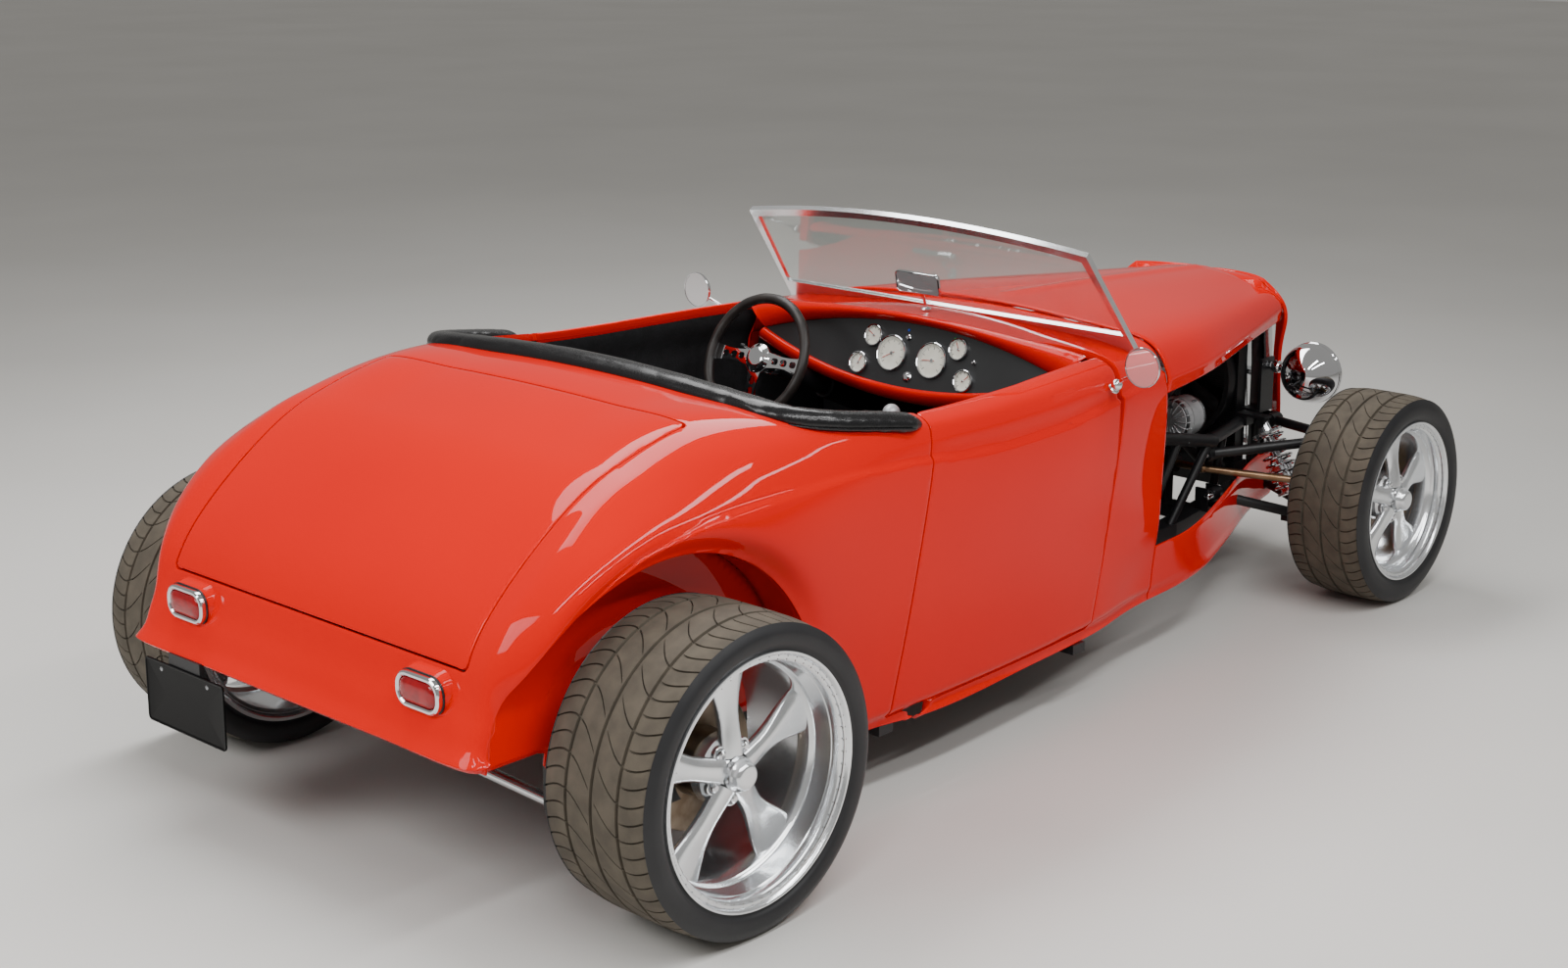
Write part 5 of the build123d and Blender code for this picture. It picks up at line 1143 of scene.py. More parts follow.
def swell(piece, voxel, pressure, cap):
    # Cloth inflated from the inside: an even mesh, 20 frames of pressure without gravity, each
    # point's move capped, and the result kept as the piece's mesh.
    scene = bpy.context.scene
    even = piece.modifiers.new("even", "REMESH")
    even.mode, even.voxel_size = "VOXEL", voxel / 1000
    mesh = bpy.data.meshes.new_from_object(piece.evaluated_get(bpy.context.evaluated_depsgraph_get()))
    piece.modifiers.clear()
    piece.data = mesh
    start = np.empty(len(mesh.vertices) * 3)
    mesh.vertices.foreach_get("co", start)
    cloth = piece.modifiers.new("cloth", "CLOTH")
    cloth.settings.quality = 5
    cloth.settings.use_pressure, cloth.settings.uniform_pressure_force = True, pressure
    cloth.settings.effector_weights.gravity = 0
    cloth.settings.tension_stiffness = cloth.settings.compression_stiffness = 12
    for step in range(1, 21):
        scene.frame_set(step)
    blown = piece.evaluated_get(bpy.context.evaluated_depsgraph_get()).to_mesh()
    end = np.empty(len(blown.vertices) * 3)
    blown.vertices.foreach_get("co", end)
    piece.modifiers.clear()
    move = (end - start).reshape(-1, 3)
    length = np.linalg.norm(move, axis=1, keepdims=True)
    move *= np.minimum(1, cap / 1000 / (length + 1e-9))
    mesh.vertices.foreach_set("co", (start.reshape(-1, 3) + move).ravel())
    scene.frame_set(1)
    mesh.shade_smooth()


def padPiece(name, pieces, finish, replaces, voxel, pressure, cap, rides="car"):
    piece = buildPiece(name, pieces, rides, [finish], replaces, angle=180)
    swell(piece, voxel, pressure, cap)
    smooth = piece.modifiers.new("smooth", "SUBSURF")
    smooth.levels = smooth.render_levels = 1
    return piece


# Padded roll round the back of the cockpit. Columns: s, y, z of its middle
padLine = np.array([(776, -692, 884), (700, -682, 897), (620, -668, 908), (540, -655, 920),
                    (474, -628, 932), (430, -575, 943), (416, -500, 951), (413, -250, 968), (412, 0, 976)],
                   float)
padLine = np.concatenate([padLine, padLine[-2::-1] * [1, -1, 1]])
roll = {"wide": 38.0, "high": 25.0, "creases": 31, "depth": 0.35, "lift": 4.0}


def rollSection(path, wide, high, steps=28):
    # Superellipse section, flattened below, carried level along a path; its ends draw in to a point.
    along, side, up = sweepFrames(path)
    turn = np.linspace(0, 2 * np.pi, steps, endpoint=False)
    c, s_ = np.cos(turn), np.sin(turn)
    across = np.sign(c) * np.abs(c) ** 0.8
    tall = np.where(s_ > 0, np.abs(s_) ** 0.85, -np.minimum(np.abs(s_), 0.62))
    n = len(path)
    end = np.minimum(1, np.sqrt(np.clip(np.minimum(np.arange(n), np.arange(n)[::-1]) / 5.0, 0.0, 1)) + 0.001)
    ripple = np.cos(np.arange(n) * 2 * np.pi * roll["creases"] / n)[:, None]
    crease = 1 + roll["depth"] / wide * ripple * (s_ > -0.2)
    return (path[:, None] + (across * crease * wide)[..., None] * side[:, None] * end[:, None, None]
            + (tall * crease * high)[..., None] * up[:, None] * end[:, None, None])


path = smoothPath(padLine, 220) + [0, 0, roll["lift"]]
sections = rollSection(path, roll["wide"], roll["high"])
padPiece("cockpitRoll", [surface(sections, wrapColumns=True)], "vinylDressed", ["cockpit_pad"], 8,
         3.0, 5)
# Piping along the roll's outer seam
seam = sections[6:-6, 15] + [0, 0, 1.0]
buildPiece("rollPiping", [tube(seam, 2.6, 8, 0)], "car", ["vinylDressed"])


def cushionOf(s0, s1, y0, y1, z0, z1, lean=0.0, power=0.28, channels=5):
    # Crowned closed form: a superellipse in plan, its top crowned and drawn in at the sewn channels.
    u = np.linspace(0, 2 * np.pi, 72, endpoint=False)
    levels = np.array([0, 0.0, 0.04, 0.15, 0.5, 0.8, 0.93, 0.985, 1.0, 1.0, 1.0, 1.0, 1.0])
    draw = np.array([0, 0.6, 0.95, 1, 1.0, 1.0, 0.97, 0.92, 0.84, 0.62, 0.4, 0.2, 0.0])
    c, d = np.cos(u), np.sin(u)
    px, py = np.sign(c) * np.abs(c) ** power, np.sign(d) * np.abs(d) ** power
    s = (s0 + s1) / 2 + (s1 - s0) / 2 * draw[:, None] * px
    y = (y0 + y1) / 2 + (y1 - y0) / 2 * draw[:, None] * py
    z = z0 + (z1 - z0) * levels[:, None] + np.zeros_like(px)
    groove = np.abs(np.cos((y - y0) / (y1 - y0) * np.pi * channels)) ** 12
    z -= 7 * groove * (levels[:, None] > 0.95) * (draw[:, None] < 0.9)
    return np.stack([s + lean * (z - z0), y, z], -1)


cushions = bothSides([surface(cushionOf(566, 1034, -524, -171, 253, 392), wrapColumns=True)])
padPiece("seatCushions", cushions, "vinylGrained", ["seats"], 12, 2.5, 8)
backs = bothSides([surface(cushionOf(496, 578, -522, -173, 256, 792, lean=-0.045, power=0.35),
                           wrapColumns=True)])
padPiece("seatBacks", backs, "vinylGrained", (), 12, 2.5, 8)
print("stage: seats and cockpit roll")

# Mirrors, lamps and plate.
mirror = {"head": (1531.0, -771.0, 908.0), "foot": (1560.0, -673.7, 844.7), "r": 51.0, "ball": 15.0}
x = np.array([1.0, 0, 0])
head = np.array(mirror["head"])
r = mirror["r"]
for side, turn_ in (("right", lambda piece: piece), ("left", mirrored)):
    cup = [(-7.5, r - 3), (-8, r - 1.5), (-7, r), (-3, r), (2, r * 0.96), (7, r * 0.84), (10.5, r * 0.62),
           (12, r * 0.4), (20, r * 0.36), (27, r * 0.3), (33, r * 0.2), (36, 0)]
    glassDisc = [(-6.4, r - 2.4), (-6.6, r * 0.5), (-6.7, 0)]
    arm = np.array([mirror["foot"], (1556, -692, 862), (1548, -732, 880), (1545, -757, 889),
                    (1545, -766, 898)])
    ball = [(mirror["ball"] * math.sin(v), mirror["ball"] * math.cos(v))
            for v in np.linspace(-1.57, 1.57, 13)]
    pieces = [lathe(cup, head, x, 64, 0), lathe(glassDisc, head, x, 48, 1),
              tube(smoothPath(arm, 26), 4.6, 14, 0), lathe(ball, mirror["foot"], (0.2, -0.7, 0.7), 32, 0),
              lathe([(-16, 15.5), (-12, 15.5), (-10.5, 14), (-9, 12)], mirror["foot"], (0.0, -0.62, 0.78),
                    32, 0)]
    buildPiece(f"doorMirror_{side}", [turn_(piece) for piece in pieces], f"door_{side}",
               ["chromePlated", "glassSilvered"], [f"mirror_{side}"], angle=30)

# Inside mirror: shell with a rolled edge, silvered face, stalk and a screwed foot.
inner = {"at": (1595.0, 0.0, 1015.0), "half": 75.0, "tall": 31.0, "tilt": -12.0, "corner": 13.0}


def roundedLoop(half, tall, corner, count=12):
    # Points round a rectangle with round corners, anticlockwise from the right side.
    quarter = np.linspace(0, np.pi / 2, count)
    points = [((half - corner) * a + corner * np.cos(quarter + k * np.pi / 2),
               (tall - corner) * b + corner * np.sin(quarter + k * np.pi / 2))
              for k, (a, b) in enumerate(((1, 1), (-1, 1), (-1, -1), (1, -1)))]
    return np.concatenate([np.stack(p, -1) for p in points])


def loopRings(rows, half, tall, corner, place, finish=0):
    # A closed body from rings of one rounded outline. Each row: inset, height out of the plane.
    rings = []
    for inset, out in rows:
        loop = roundedLoop(*(max(v - inset, 0.0) for v in (half, tall, corner)))
        rings.append(place(loop[:, 0], loop[:, 1], np.full(len(loop), float(out))))
    return surface(np.stack(rings), wrapColumns=True, finish=finish)


tilt = math.radians(inner["tilt"])
mirrorNormal = np.array([-math.cos(tilt), 0, math.sin(tilt)])
mirrorUp = np.array([math.sin(tilt), 0, math.cos(tilt)])
onMirror = placeOn(inner["at"], (0, 1.0, 0), mirrorUp, mirrorNormal)
shell = loopRings([(31, -7), (12, -7), (3, -5), (0, -1), (0, 5), (1.2, 6.8), (3, 7), (4, 5.6)],
                  inner["half"], inner["tall"], inner["corner"], onMirror)
face = loopRings([(3.6, 5.2), (4.4, 6.0), (31, 6.0)], inner["half"], inner["tall"], inner["corner"],
                 onMirror, 1)
stalk = tube(smoothPath([(1600, 0, 995), (1610, 0, 985), (1622, 0, 965), (1629, 0, 940)], 20), 4.5, 14, 0)
footPlate = lathe([(0, 0), (0, 15), (3, 15), (5, 12), (8, 6)], (1629, 0, 936.4), (0, 0, 1), 36, 0)
buildPiece("insideMirrorSet", [shell, face, stalk, footPlate], "car", ["chromePlated", "glassSilvered"],
           ["inside_mirror"], angle=30)

# Headlights: bullet shell, stepped rim, fluted glass, reflector and the swivel on its stand.
lamp = {"s": 2950.0, "y": 430.0, "z": 610.0, "r": 93.0}
centre = np.array([lamp["s"], -lamp["y"], lamp["z"]])
R = lamp["r"]
turn = np.linspace(0, np.pi / 2, 20)
bowl = [(-R * math.cos(v), R * math.sin(v) * 0.985) for v in turn]
bullet = bowl + [(4, R * 0.985), (5, R), (9, R), (10, R * 0.985), (12, R),
          (19, R), (22, R - 3), (22, R - 8), (16, R - 9)]
glass = [(16, R - 8.5), (18.5, R * 0.7), (21, R * 0.4), (21.6, 0)]
reflector = [(12, R - 10), (-8, R * 0.72), (-26, R * 0.45), (-38, R * 0.16), (-38, 0)]
swivel = np.array([lamp["s"] - 6, -lamp["y"] + R + 22, lamp["z"] + 4])
neck = tube([(lamp["s"] - 6, -lamp["y"] + R - 8, lamp["z"] + 4), (lamp["s"] - 6, -293, lamp["z"] + 4)],
            10.5, 24, 0)
swivelBall = [(20 * math.sin(v), 20 * math.cos(v)) for v in np.linspace(-1.57, 1.57, 13)]
knuckleBall = lathe(swivelBall, swivel, (0, 1, 0), 32)
nut = lathe([(0, 0), (0, 15), (8, 15), (9, 13), (9, 0)], (lamp["s"] - 6, -305, lamp["z"] + 4), (0, 1, 0), 6)
buildPiece("headlightBullets", bothSides([lathe(bullet, centre, x, 88, 0), neck, knuckleBall, nut,
                                          lathe(reflector, centre, x, 48, 0)]), "car", ["chromePlated"],
           ["headlight_shells"], angle=30)
flutes = lathe(glass, centre, x, 88, 0)
buildPiece("headlightGlass", bothSides([flutes]), "car", ["glassPressedFluted"],
           ["headlight_lenses"], angle=180)
bulbs = lathe([(-30, 0), (-30, 12), (-14, 12), (-12, 9), (4, 9), (8, 5), (9, 0)], centre, x, 24, 0)
buildPiece("headlightBulbs", bothSides([bulbs]), "car", ["glassLaminatedClear"])

# Tail lamps: red pad following the panel, chrome hooded ring, deep domed lens.
tail = {"s": -448.0, "y": 408.0, "z": 514.0, "half": 69.0, "tall": 39.0, "corner": 35.0}
onTail = placeOn((tail["s"], -tail["y"], tail["z"]), (0, 1.0, 0), (0, 0, 1.0), (-1.0, 0, 0))
tailOutline = (tail["half"], tail["tall"], tail["corner"], onTail)
pad = loopRings([(-10, -48), (-7, -32), (-3, -19), (0.5, -14), (1, -12)], *tailOutline)
ring = loopRings([(1.5, -13), (0, -12), (-0.5, -6), (0.6, -1), (4, 1.6), (8.5, 1.6), (11.5, -1), (12.5, -6),
                  (12.5, -10)], *tailOutline, 1)
gasket = loopRings([(2, -15), (-2.5, -14.5), (-2.5, -11.5), (1, -11.5)], *tailOutline, 2)
lens = loopRings([(12.3, -8), (13.5, -2), (17, 1.5), (24, 3.6), (34, 4.6), (43, 5)], *tailOutline)
buildPiece("tailLampRings", bothSides([pad, ring, gasket]), "car",
           ["redEnamelClearcoated", "chromePlated", "hoseRubberBlack"], ["tail_lamp_bezels"],
           angle=30)
buildPiece("tailLampLenses", bothSides([lens]), "car", ["acrylicRedMoulded"],
           ["tail_lamp_lenses"], angle=180)

# Number plate: pressed sheet with a raised rim, two screws and its bracket.
plateAt = {"s": -488.0, "y": 367.0, "z": 305.0, "half": 152.0, "tall": 76.0}
onPlate = placeOn((plateAt["s"], plateAt["y"], plateAt["z"]), (0, 1.0, 0), (0, 0, 1.0), (-1.0, 0, 0))
sheet = loopRings([(76, -2.6), (6, -2.6), (4, -3.6), (0.4, -3.9), (0, -3), (0, -1), (1, 0), (3.2, 0),
                   (5.4, -1.6), (7, -1.8), (76, -1.8)],
                  plateAt["half"], plateAt["tall"], 12.0, onPlate)
screws = [lathe([(-3, 5.5), (0, 5.4), (1.0, 3.2), (1.2, 0)], onPlate(a, 58, -1.6), (-1, 0, 0), 16, 1)
          for a in (-89, 89)]
bracket = blockOf((-484, 307, 265), (-472.4, 427, 407.5), 2)
buildPiece("plateSheet", [sheet, bracket] + screws, "car",
           ["plateEnamelBlack", "steelPlated", "steelPowderBlack"], ["number_plate"], angle=30)
print("stage: mirrors, lamps and plate")

# Engine bay and running gear detail. Places in mm; ends of runs come from what they join.
bay = {"head": 40.0, "headY": 165.0, "headZ": 600.0}


def coverPoints(side):
    # Rocker cover: rounded loops along the head's top, lifted and drawn in to its crown.
    a = math.radians(bay["head"])
    out = np.array([0, side * math.sin(a), math.cos(a)])
    across = np.array([0, side * math.cos(a), -math.sin(a)])
    middle = np.array([2215.0, side * bay["headY"], bay["headZ"]]) + out * 95
    return placeOn(middle, (1.0, 0, 0), across, out)


coverParts = []
for side in (-1, 1):
    place = coverPoints(side)
    coverParts.append(loopRings([(0, -3), (0, 5), (2, 6), (5, 7), (7, 12), (9, 36), (14, 46), (24, 51),
                                 (56, 53)], 218, 58, 22, place, 0))
    outward = place(0.0, 0.0, 1.0) - place(0.0, 0.0, 0.0)
    for f in np.linspace(-26, 26, 6):
        fin = blockOf((-170, f - 2.2, 50), (170, f + 2.2, 59))
        coverParts.append((place(fin[0][:, 0], fin[0][:, 1], fin[0][:, 2]), fin[1], 0))
    for bx in (-196, -66, 66, 196):
        for by in (-46, 46):
            coverParts.append(lathe([(6, 7), (12, 7), (13, 5.5), (13, 0)], place(bx, by, 0.0), outward, 6, 1))
    coverParts.append(lathe([(40, 17), (62, 17), (64, 15), (64, 0)], place(-150.0, 0.0, 0.0), outward, 24, 1))
buildPiece("rockerCovers", coverParts, "car", ["aluminiumCast", "chromePlated"], angle=35)

# Intake: runners, plenum ribs, throttle pipe with clamps and the air cleaner's ribbed lid.
intakeParts = []
for s in (2070, 2160, 2280, 2370, 2440):
    for side in (-1, 1):
        path = smoothPath([(s, side * 40, 752), (s, side * 92, 764), (s + 6, side * 132, 716),
                           (s + 8, side * 146, 672)], 18)
        intakeParts.append(tube(path, 17, 16, 0))
intakeParts.append(loopRings([(0, 752), (0, 770), (4, 776), (10, 778), (84, 778)], 232, 84, 20,
                             lambda x, y, z: np.stack([x + 2235, y, z], -1), 0))
lidRibs = [(2 + 3 * (i % 2), 146 - 11 * i) for i in range(1, 11)]
cleaner = [(-64, 150), (-60, 152), (-14, 152), (-12, 156), (-4, 156), (0, 150)] + lidRibs
cleaner += [(6, 18), (14, 14), (15, 0)]
intakeParts.append(lathe(cleaner, (2200, 0, 824), (0, 0, 1), 88, 1))
ribs = [(3 * i, 49 + 4 * (i % 2)) for i in range(24)]
intakeParts.append(lathe(ribs, (2494, 0, 705), (1, 0, 0), 44, 2))
for s in (2490, 2570):
    intakeParts.append(lathe([(0, 51), (0, 55), (12, 55), (12, 51)], (s, 0, 705), (1, 0, 0), 44, 3))
buildPiece("intakeRunners", intakeParts, "car",
           ["aluminiumCast", "chromePlated", "hoseRubberBlack", "steelPlated"], angle=35)

# Front drive. Columns: y, z, radius, front s, grooves
pulleys = [(0, 470, 75, 2542, 5), (0, 582, 65, 2558, 5), (-262, 528, 30, 2562, 5), (250, 540, 32, 2562, 5),
           (-118, 506, 34, 2540, 0)]
driveParts = []
for y, z, r, s, count in pulleys:
    grooves = [(-26 + 4 * i, r - 4 * (i % 2)) for i in range(2 * count + 1)]
    face = [(-28, 0), (-28, r + 2)] + grooves
    face += [(17, r + 2), (18, r - 4), (13, r - 8), (12, r * 0.45), (18, r * 0.42), (19, 0)]
    driveParts.append(lathe(face, (s - 20, y, z), (1, 0, 0), 64, 0))
    bolt = [(17, 9), (25, 9), (26, 7), (26, 0)]
    driveParts.append(lathe(bolt, (s - 20, y, z), (1, 0, 0), 6, 1))
turn = np.linspace(0, 2 * np.pi, 240, endpoint=False)
way = np.stack([np.cos(turn), np.sin(turn)], -1)
for chosen, s in (((0, 1, 2), 2530), ((0, 1, 3), 2541)):
    middle = np.array([pulleys[i][:2] for i in chosen], float)
    radius = np.array([pulleys[i][2] for i in chosen], float)
    best = np.argmax(way @ middle.T + radius, axis=1)
    loop = middle[best] + way * radius[best][:, None]
    section = [(-4.5, -1), (-4.5, 4), (4.5, 4), (4.5, -1)]
    belt = np.stack([np.stack([np.full(len(turn), s + a), *(loop + way * h).T], -1) for a, h in section], 1)
    driveParts.append(surface(belt, wrapRows=True, wrapColumns=True, finish=2))
# Alternator and pump: finned end bells with slots between the fins
for y, z, r, s0, s1 in ((-262, 528, 60, 2444, 2540), (250, 540, 55, 2446, 2540)):
    bell = [(s0 - 6, 0), (s0 - 6, r * 0.5), (s0 - 2, r * 0.92), (s0 + 3, r * 0.99), (s0 + 30, r + 1),
            (s0 + 31, r + 4), (s0 + 36, r + 4), (s0 + 37, r + 1), (s1 - 8, r), (s1 - 2, r * 0.9),
            (s1, r * 0.4), (s1, 0)]
    driveParts.append(lathe([(a - s0, b) for a, b in bell], (s0, y, z), (1, 0, 0), 56, 3))
    for b in np.linspace(0, 2 * np.pi, 18, endpoint=False):
        c, d = math.cos(b), math.sin(b)
        path = [(s0 - 7, y + r * 0.35 * c, z + r * 0.35 * d), (s0 - 7, y + r * 0.8 * c, z + r * 0.8 * d),
                (s0 + 2, y + r * 1.01 * c, z + r * 1.01 * d), (s0 + 26, y + (r + 1) * c, z + (r + 1) * d)]
        driveParts.append(tube(path, 1.8, 5, 3))
buildPiece("frontDrive", driveParts, "car",
           ["steelPlated", "chromePlated", "hoseRubberBlack", "aluminiumCast"], angle=30)

# Water hoses, with worm clamps at their ends. Columns: radius, corners
hoseRuns = [
    (21, [(2452, 60, 690), (2500, 62, 706), (2600, 70, 762), (2780, 120, 792), (2860, 140, 798),
          (2898, 140, 798)]),
    (19, [(2536, -70, 560), (2600, -90, 520), (2700, -150, 400), (2800, -170, 300), (2896, -170, 282)]),
    (9, [(1968, 120, 742), (1940, 132, 760), (1912, 140, 720), (1856, 150, 700)]),
    (9, [(1968, 90, 742), (1930, 96, 770), (1900, 100, 700), (1856, 104, 660)]),
]
hoseParts = []
for radius, corners in hoseRuns:
    path = smoothPath(corners, 60)
    hoseParts.append(tube(path, radius, 20, 0))
    for k, m in ((3, 5), (-4, -6)):
        hoseParts.append(lathe([(-6, radius), (-6, radius + 1.6), (6, radius + 1.6), (6, radius)], path[k],
                               path[m] - path[k], 24, 1))
buildPiece("waterHoses", hoseParts, "car", ["hoseRubberBlack", "steelPlated"], angle=35)

# Distributor and its eight leads to the plugs, and the coil beside it.
cap = np.array([1996.0, 0.0, 742.0])
leadParts = [lathe([(-90, 30), (-10, 30), (-6, 44), (0, 46), (26, 44), (34, 30), (36, 0)], cap + [0, 0, 26],
                   (0, 0, 1), 44, 1)]
for i in range(8):
    b = 2 * np.pi * (i + 0.5) / 8
    tower = cap + [28 * math.cos(b), 28 * math.sin(b), 60]
    side = -1 if i < 4 else 1
    plug = np.array([2034.0 + 118 * (i % 4), side * 238, 540.0])
    out = np.array([0, side * math.sin(math.radians(50)), -0.1])
    path = smoothPath([tower - [0, 0, 6], tower + [0, 0, 26],
                       (tower + plug) / 2 + [-10, side * 60, 96 + 7 * (i % 4)], plug + [0, side * 46, 96],
                       plug + out * 40 + [0, 0, 16], plug], 40)
    leadParts.append(tube(path, 4.0, 8, 0))
    leadParts.append(lathe([(-8, 7), (16, 7.5), (18, 5)], tower, (0, 0, 1), 14, 0))
    leadParts.append(lathe([(0, 9.5), (30, 8), (36, 5)], plug, path[-6] - plug, 14, 0))
leadParts.append(lathe([(0, 0), (0, 27), (4, 28), (112, 28), (116, 24), (118, 10), (132, 9), (132, 0)],
                       (1872, 118, 660), (1, 0.05, 0.1), 32, 2))
buildPiece("ignitionLeads", leadParts, "car",
           ["hoseRubberBlack", "ironEnamelBlack", "redEnamelClearcoated"], angle=30)

# Right side of the engine, as the photo shows it behind the cowl: canister, ribbed pipe, bracketry.
sideParts = [
    lathe([(-34, 0), (-34, 34), (-30, 40), (20, 42), (24, 45), (30, 45), (33, 41), (36, 30), (37, 12),
           (41, 10), (41, 0)],
          (1990, -262, 620), (0.15, -1, 0.2), 56, 0),
    lathe([(0, 26), (60, 26)] + [(62 + 5 * i, 25 + 4 * (i % 2)) for i in range(16)] + [(146, 22), (150, 0)],
          (2090, -232, 662), (0.35, -0.25, 1), 40, 1),
    lathe([(0, 22), (40, 22), (44, 28), (60, 28), (62, 20), (78, 18), (78, 0)], (2050, -250, 560),
          (0.4, -1, 0), 36, 1),
    lathe([(0, 44), (86, 44), (92, 38), (94, 0)], (2040, -150, 300), (0, -0.7, -0.7), 40, 2),
    lathe([(-70, 0), (-70, 46), (60, 46), (64, 40), (64, 24), (110, 24), (110, 0)], (1990, -196, 352),
          (1, 0, 0), 40, 2),
]
for corners, radius in (([(1990, -304, 650), (2010, -322, 700), (2060, -318, 742), (2120, -280, 760),
                          (2160, -150, 770)], 5.0),
                        ([(1990, -300, 590), (2000, -330, 540), (2040, -322, 470), (2070, -300, 430)], 5.0),
                        ([(2452, -262, 560), (2400, -290, 590), (2300, -300, 560), (2200, -286, 520),
                          (2100, -250, 500)], 4.0)):
    sideParts.append(tube(smoothPath(corners, 40), radius, 10, 3))
buildPiece("engineSideFittings", sideParts, "car",
           ["brassPlated", "aluminiumPolished", "ironEnamelBlack", "hoseRubberBlack"], angle=30)
# Pressed sump between the rails
sump = loopRings([(10, 302), (0, 300), (0, 270), (4, 266), (8, 200), (18, 186), (130, 184)], 250, 130, 26,
                 lambda x, y, z: np.stack([x + 2240, y, z], -1), 0)
buildPiece("sumpPan", [sump], "car", ["ironEnamelBlack"], angle=35)

# Header collectors: flanges with nuts at each port
flangeParts = []
for side in (-1, 1):
    a = math.radians(bay["head"])
    out = np.array([0, side * math.cos(a), -math.sin(a)])
    for i in range(4):
        port = np.array([2000.0 + 108 * i, side * bay["headY"], bay["headZ"]]) + out * 75
        flangeParts.append(lathe([(0, 22), (0, 34), (7, 34), (9, 31), (9, 22)], port, out, 36, 0))
        for d in (-28, 28):
            flangeParts.append(lathe([(6, 7), (14, 7), (15, 5), (15, 0)], port + [d, 0, 0], out, 6, 1))
buildPiece("headerFlanges", flangeParts, "car", ["steelPlated", "chromePlated"], angle=30)

# Coil springs: a helix carried along each damper. Columns: low end, high end, wire, radius, turns
springs = [((-70, -440, 250), (-150, -395, 530), 9, 42, 8),
           ((2825, -486, 224.5), (2825, -340, 471.5), 8.5, 42, 8)]
springParts = []
for low, high, wire, radius, turns in springs:
    low, high = np.array(low, float), np.array(high, float)
    axis = (high - low) / np.linalg.norm(high - low)
    side = np.cross(axis, [1.0, 0, 0])
    side /= np.linalg.norm(side)
    up = np.cross(side, axis)
    v = np.linspace(0, 1, turns * 26)
    phase = 2 * np.pi * turns * v
    middle = low + (high - low) * (0.2 + 0.64 * v)[:, None]
    ring = radius * (np.cos(phase)[:, None] * side + np.sin(phase)[:, None] * up)
    path = middle + ring
    along = np.gradient(path, axis=0)
    along /= np.linalg.norm(along, axis=1, keepdims=True)
    outward = ring / radius
    across = np.cross(along, outward)
    turn_ = np.linspace(0, 2 * np.pi, 10, endpoint=False)[None, :, None]
    section = np.cos(turn_) * outward[:, None] + np.sin(turn_) * across[:, None]
    coil = path[:, None] + wire / 2 * 1.1 * section
    springParts.append(surface(coil, wrapColumns=True, finish=0))
    length = np.linalg.norm(high - low)
    damper = [(0.02, 0), (0.02, 14), (0.1, 16), (0.17, 17), (0.18, 46), (0.205, 47), (0.21, 30), (0.5, 30),
              (0.51, 27), (0.52, 12), (0.83, 12), (0.84, 46), (0.865, 47), (0.87, 18), (0.94, 16),
              (0.98, 14), (0.98, 0)]
    springParts.append(lathe([(a * length, b) for a, b in damper], low, axis, 40, 1))
    for place in (low + axis * 8, high - axis * 8):
        springParts.append(lathe([(-17, 0), (-17, 15), (17, 15), (17, 0)], place, (1, 0, 0), 28, 2))
buildPiece("coilSprings", bothSides(springParts), "car",
           ["chromePlated", "aluminiumPolished", "hoseRubberBlack"], ["coilovers"], angle=30)

# Dome nuts at the frame's and arms' joints. Columns: place, direction, radius
nuts = [((2590, -330, 285), (-1, 0, 0), 11), ((2990, -264, 232), (1, 0, 0), 11),
        ((2566, -322, 412), (-1, 0, 0), 11), ((2968, -296, 440), (1, 0, 0), 11),
        ((2845, -600, 208), (0, 0, 1), 12), ((2845, -600, 468), (0, 0, 1), 12),
        ((68, -486, 270), (0, -1, 0), 12), ((400, -380, 197), (0, -1, 0), 12),
        ((80, -215, 384), (0, -1, 0), 12)]
nutParts = []
for place, way_, r in nuts:
    reach = 24 if way_[0] else 14 if way_[2] else 0
    dome = [(reach - 2, r * 1.5), (reach + 2, r * 1.5), (reach + 2, r), (reach + 9, r)]
    dome += [(reach + 9 + r * 0.8 * math.sin(v), r * math.cos(v)) for v in np.linspace(0.25, np.pi / 2, 7)]
    nutParts.append(lathe(dome, place, way_, 18, 0))
buildPiece("frameNuts", bothSides(nutParts), "car", ["chromePlated"], angle=30)

# Radiator: fins between tubes on both faces, cap, and the fan shroud's lip
finZ = np.arange(306, 776, 7.0)
finParts = [blockOf((s, -203, z), (s + 3.3, 203, z + 1.4), 0) for s in (2896.6, 2950.1) for z in finZ]
finParts.append(lathe([(0, 26), (6, 26), (8, 32), (18, 32), (20, 28), (24, 12), (24, 0)], (2925, -120, 815),
                      (0, 0, 1), 28, 1))
finParts.append(lathe([(0, 190), (0, 206), (6, 206), (8, 200), (8, 190)], (2846, 0, 560), (1, 0, 0), 96, 0))
buildPiece("radiatorFins", finParts, "car", ["ironEnamelBlack", "chromePlated"], angle=30)
# Air guides between the radiator and the back of the bars, with a flange at their front edge
guideParts = [blockOf((2952, -222, 300), (3022, -219, 812)), blockOf((3019, -236, 300), (3022, -219, 812))]
buildPiece("airGuides", bothSides(guideParts), "car", ["steelPowderBlack"], angle=30)

# Steering shaft with its two joints, from the firewall to the rack
shaftLine = np.array([(1856, 350, 566), (2140, 338, 430), (2536, 214, 372)], float)
shaftParts = [tube(shaftLine[:2], 10, 16, 0), tube(shaftLine[1:], 10, 16, 0)]
joint = [(-22, 0), (-22, 17), (-8, 19), (8, 19), (22, 17), (22, 0)]
for k, m in ((0, 0), (1, 1), (2, 1)):
    shaftParts.append(lathe(joint, shaftLine[k], shaftLine[m + 1] - shaftLine[m], 24, 1))
buildPiece("steeringShaft", shaftParts, "car", ["steelPlated", "steelPowderBlack"], angle=30)
print("stage: engine bay and running gear")

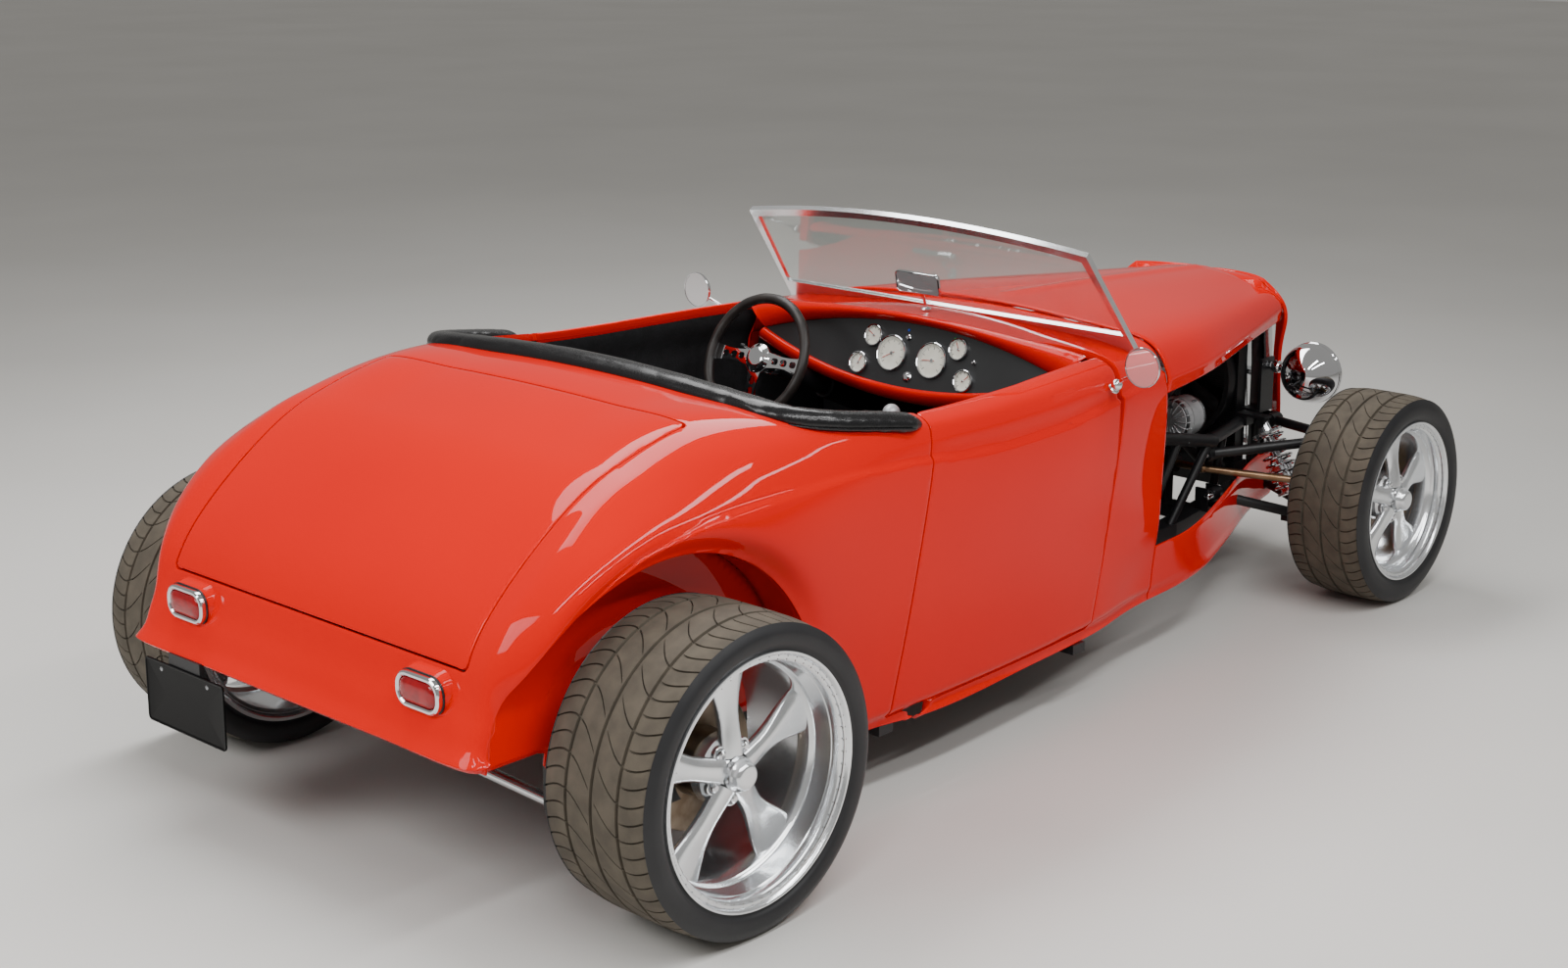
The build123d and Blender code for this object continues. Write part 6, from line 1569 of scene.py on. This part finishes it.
# Finish of each part that keeps its own shape. Columns: finish, nodes
keptParts = [
    ("steelPowderBlack", ["frame_rails", "cross_members", "bay_tubes", "rear_axle", "headlight_stands",
                          "control_arms", "steering_rack", "driveline", "knuckle_right", "knuckle_left"]),
    ("aluminiumPolished", ["windscreen_frame", "track_bar", "engine_top", "grille_bars"]),
    ("chromePlated", ["rear_links"]), ("glassLaminatedClear", ["windscreen_glass"]),
    ("dashSatinPainted", ["dash_panel"]), ("carpetBlackTufted", ["floor_tub"]),
    ("aluminiumCast", ["gear_lever"]), ("ironEnamelBlack", ["engine_block", "steering_column", "radiator"]),
    ("steelPlated", ["exhaust", "engine_drive"]), ("brassPlated", ["steering_rods"]),
]
for finish, names in keptParts:
    for name in names:
        for cadPiece in [o for o in bpy.data.objects if o.name == name or o.name.startswith(name + ".")]:
            for holder in cadPiece.material_slots:
                holder.material = finishes[finish]
print("stage: finishes of the kept parts")
# Studio: pale floor, soft overhead strips, camera at the photograph's angle.
studio = {
    "eye": (-4.43944303, -3.86373218, 2.12383251), "right": (0.67280456, -0.73981726, 0.00210779),
    "up": (0.16938177, 0.15681129, 0.97299539), "forward": (0.72016931, 0.65427872, -0.23081491),
    "lens": 52.7622, "shift": (-0.01356, -0.05144), "world": "#e4e2de", "worldPower": 0.42,
    # Soft boxes: x, y, z, width, length, power, turn about z in degrees
    "boxes": [(-1.6, -2.2, 3.6, 0.3, 5.0, 105, 0), (-0.6, -3.4, 3.4, 0.25, 5.0, 90, 0),
              (0.5, 1.6, 3.9, 1.6, 5.0, 190, 0), (-5.0, 0.5, 3.2, 2.5, 2.5, 170, 0)],
}
floor = bpy.data.objects.new("floor", bpy.data.meshes.new("floor"))
floor.data.from_pydata([(-30, -30, 0), (30, -30, 0), (30, 30, 0), (-30, 30, 0)], [], [(0, 1, 2, 3)])
floor.data.materials.append(finishes["floorPoured"])
bpy.context.scene.collection.objects.link(floor)
world = bpy.data.worlds.new("studioWorld")
world.use_nodes = True
world.node_tree.nodes["Background"].inputs["Color"].default_value = linearOf(studio["world"])
world.node_tree.nodes["Background"].inputs["Strength"].default_value = studio["worldPower"]
bpy.context.scene.world = world
for number, (x, y, z, width, length, power, turn) in enumerate(studio["boxes"]):
    lamp = bpy.data.lights.new(f"softBox{number}", "AREA")
    lamp.shape, lamp.size, lamp.size_y, lamp.energy = "RECTANGLE", length, width, power
    holder = bpy.data.objects.new(f"softBox{number}", lamp)
    holder.location = (x, y, z)
    holder.rotation_euler = (0, 0, math.radians(turn))
    bpy.context.scene.collection.objects.link(holder)
view = bpy.data.cameras.new("photoView")
view.lens, view.sensor_width, view.shift_x, view.shift_y = studio["lens"], 36.0, *studio["shift"]
viewer = bpy.data.objects.new("photoView", view)
turned = Matrix([studio["right"], studio["up"], [-c for c in studio["forward"]]]).transposed().to_4x4()
viewer.matrix_world = Matrix.Translation(studio["eye"]) @ turned
bpy.context.scene.collection.objects.link(viewer)
bpy.context.scene.camera = viewer
print("stage: studio")
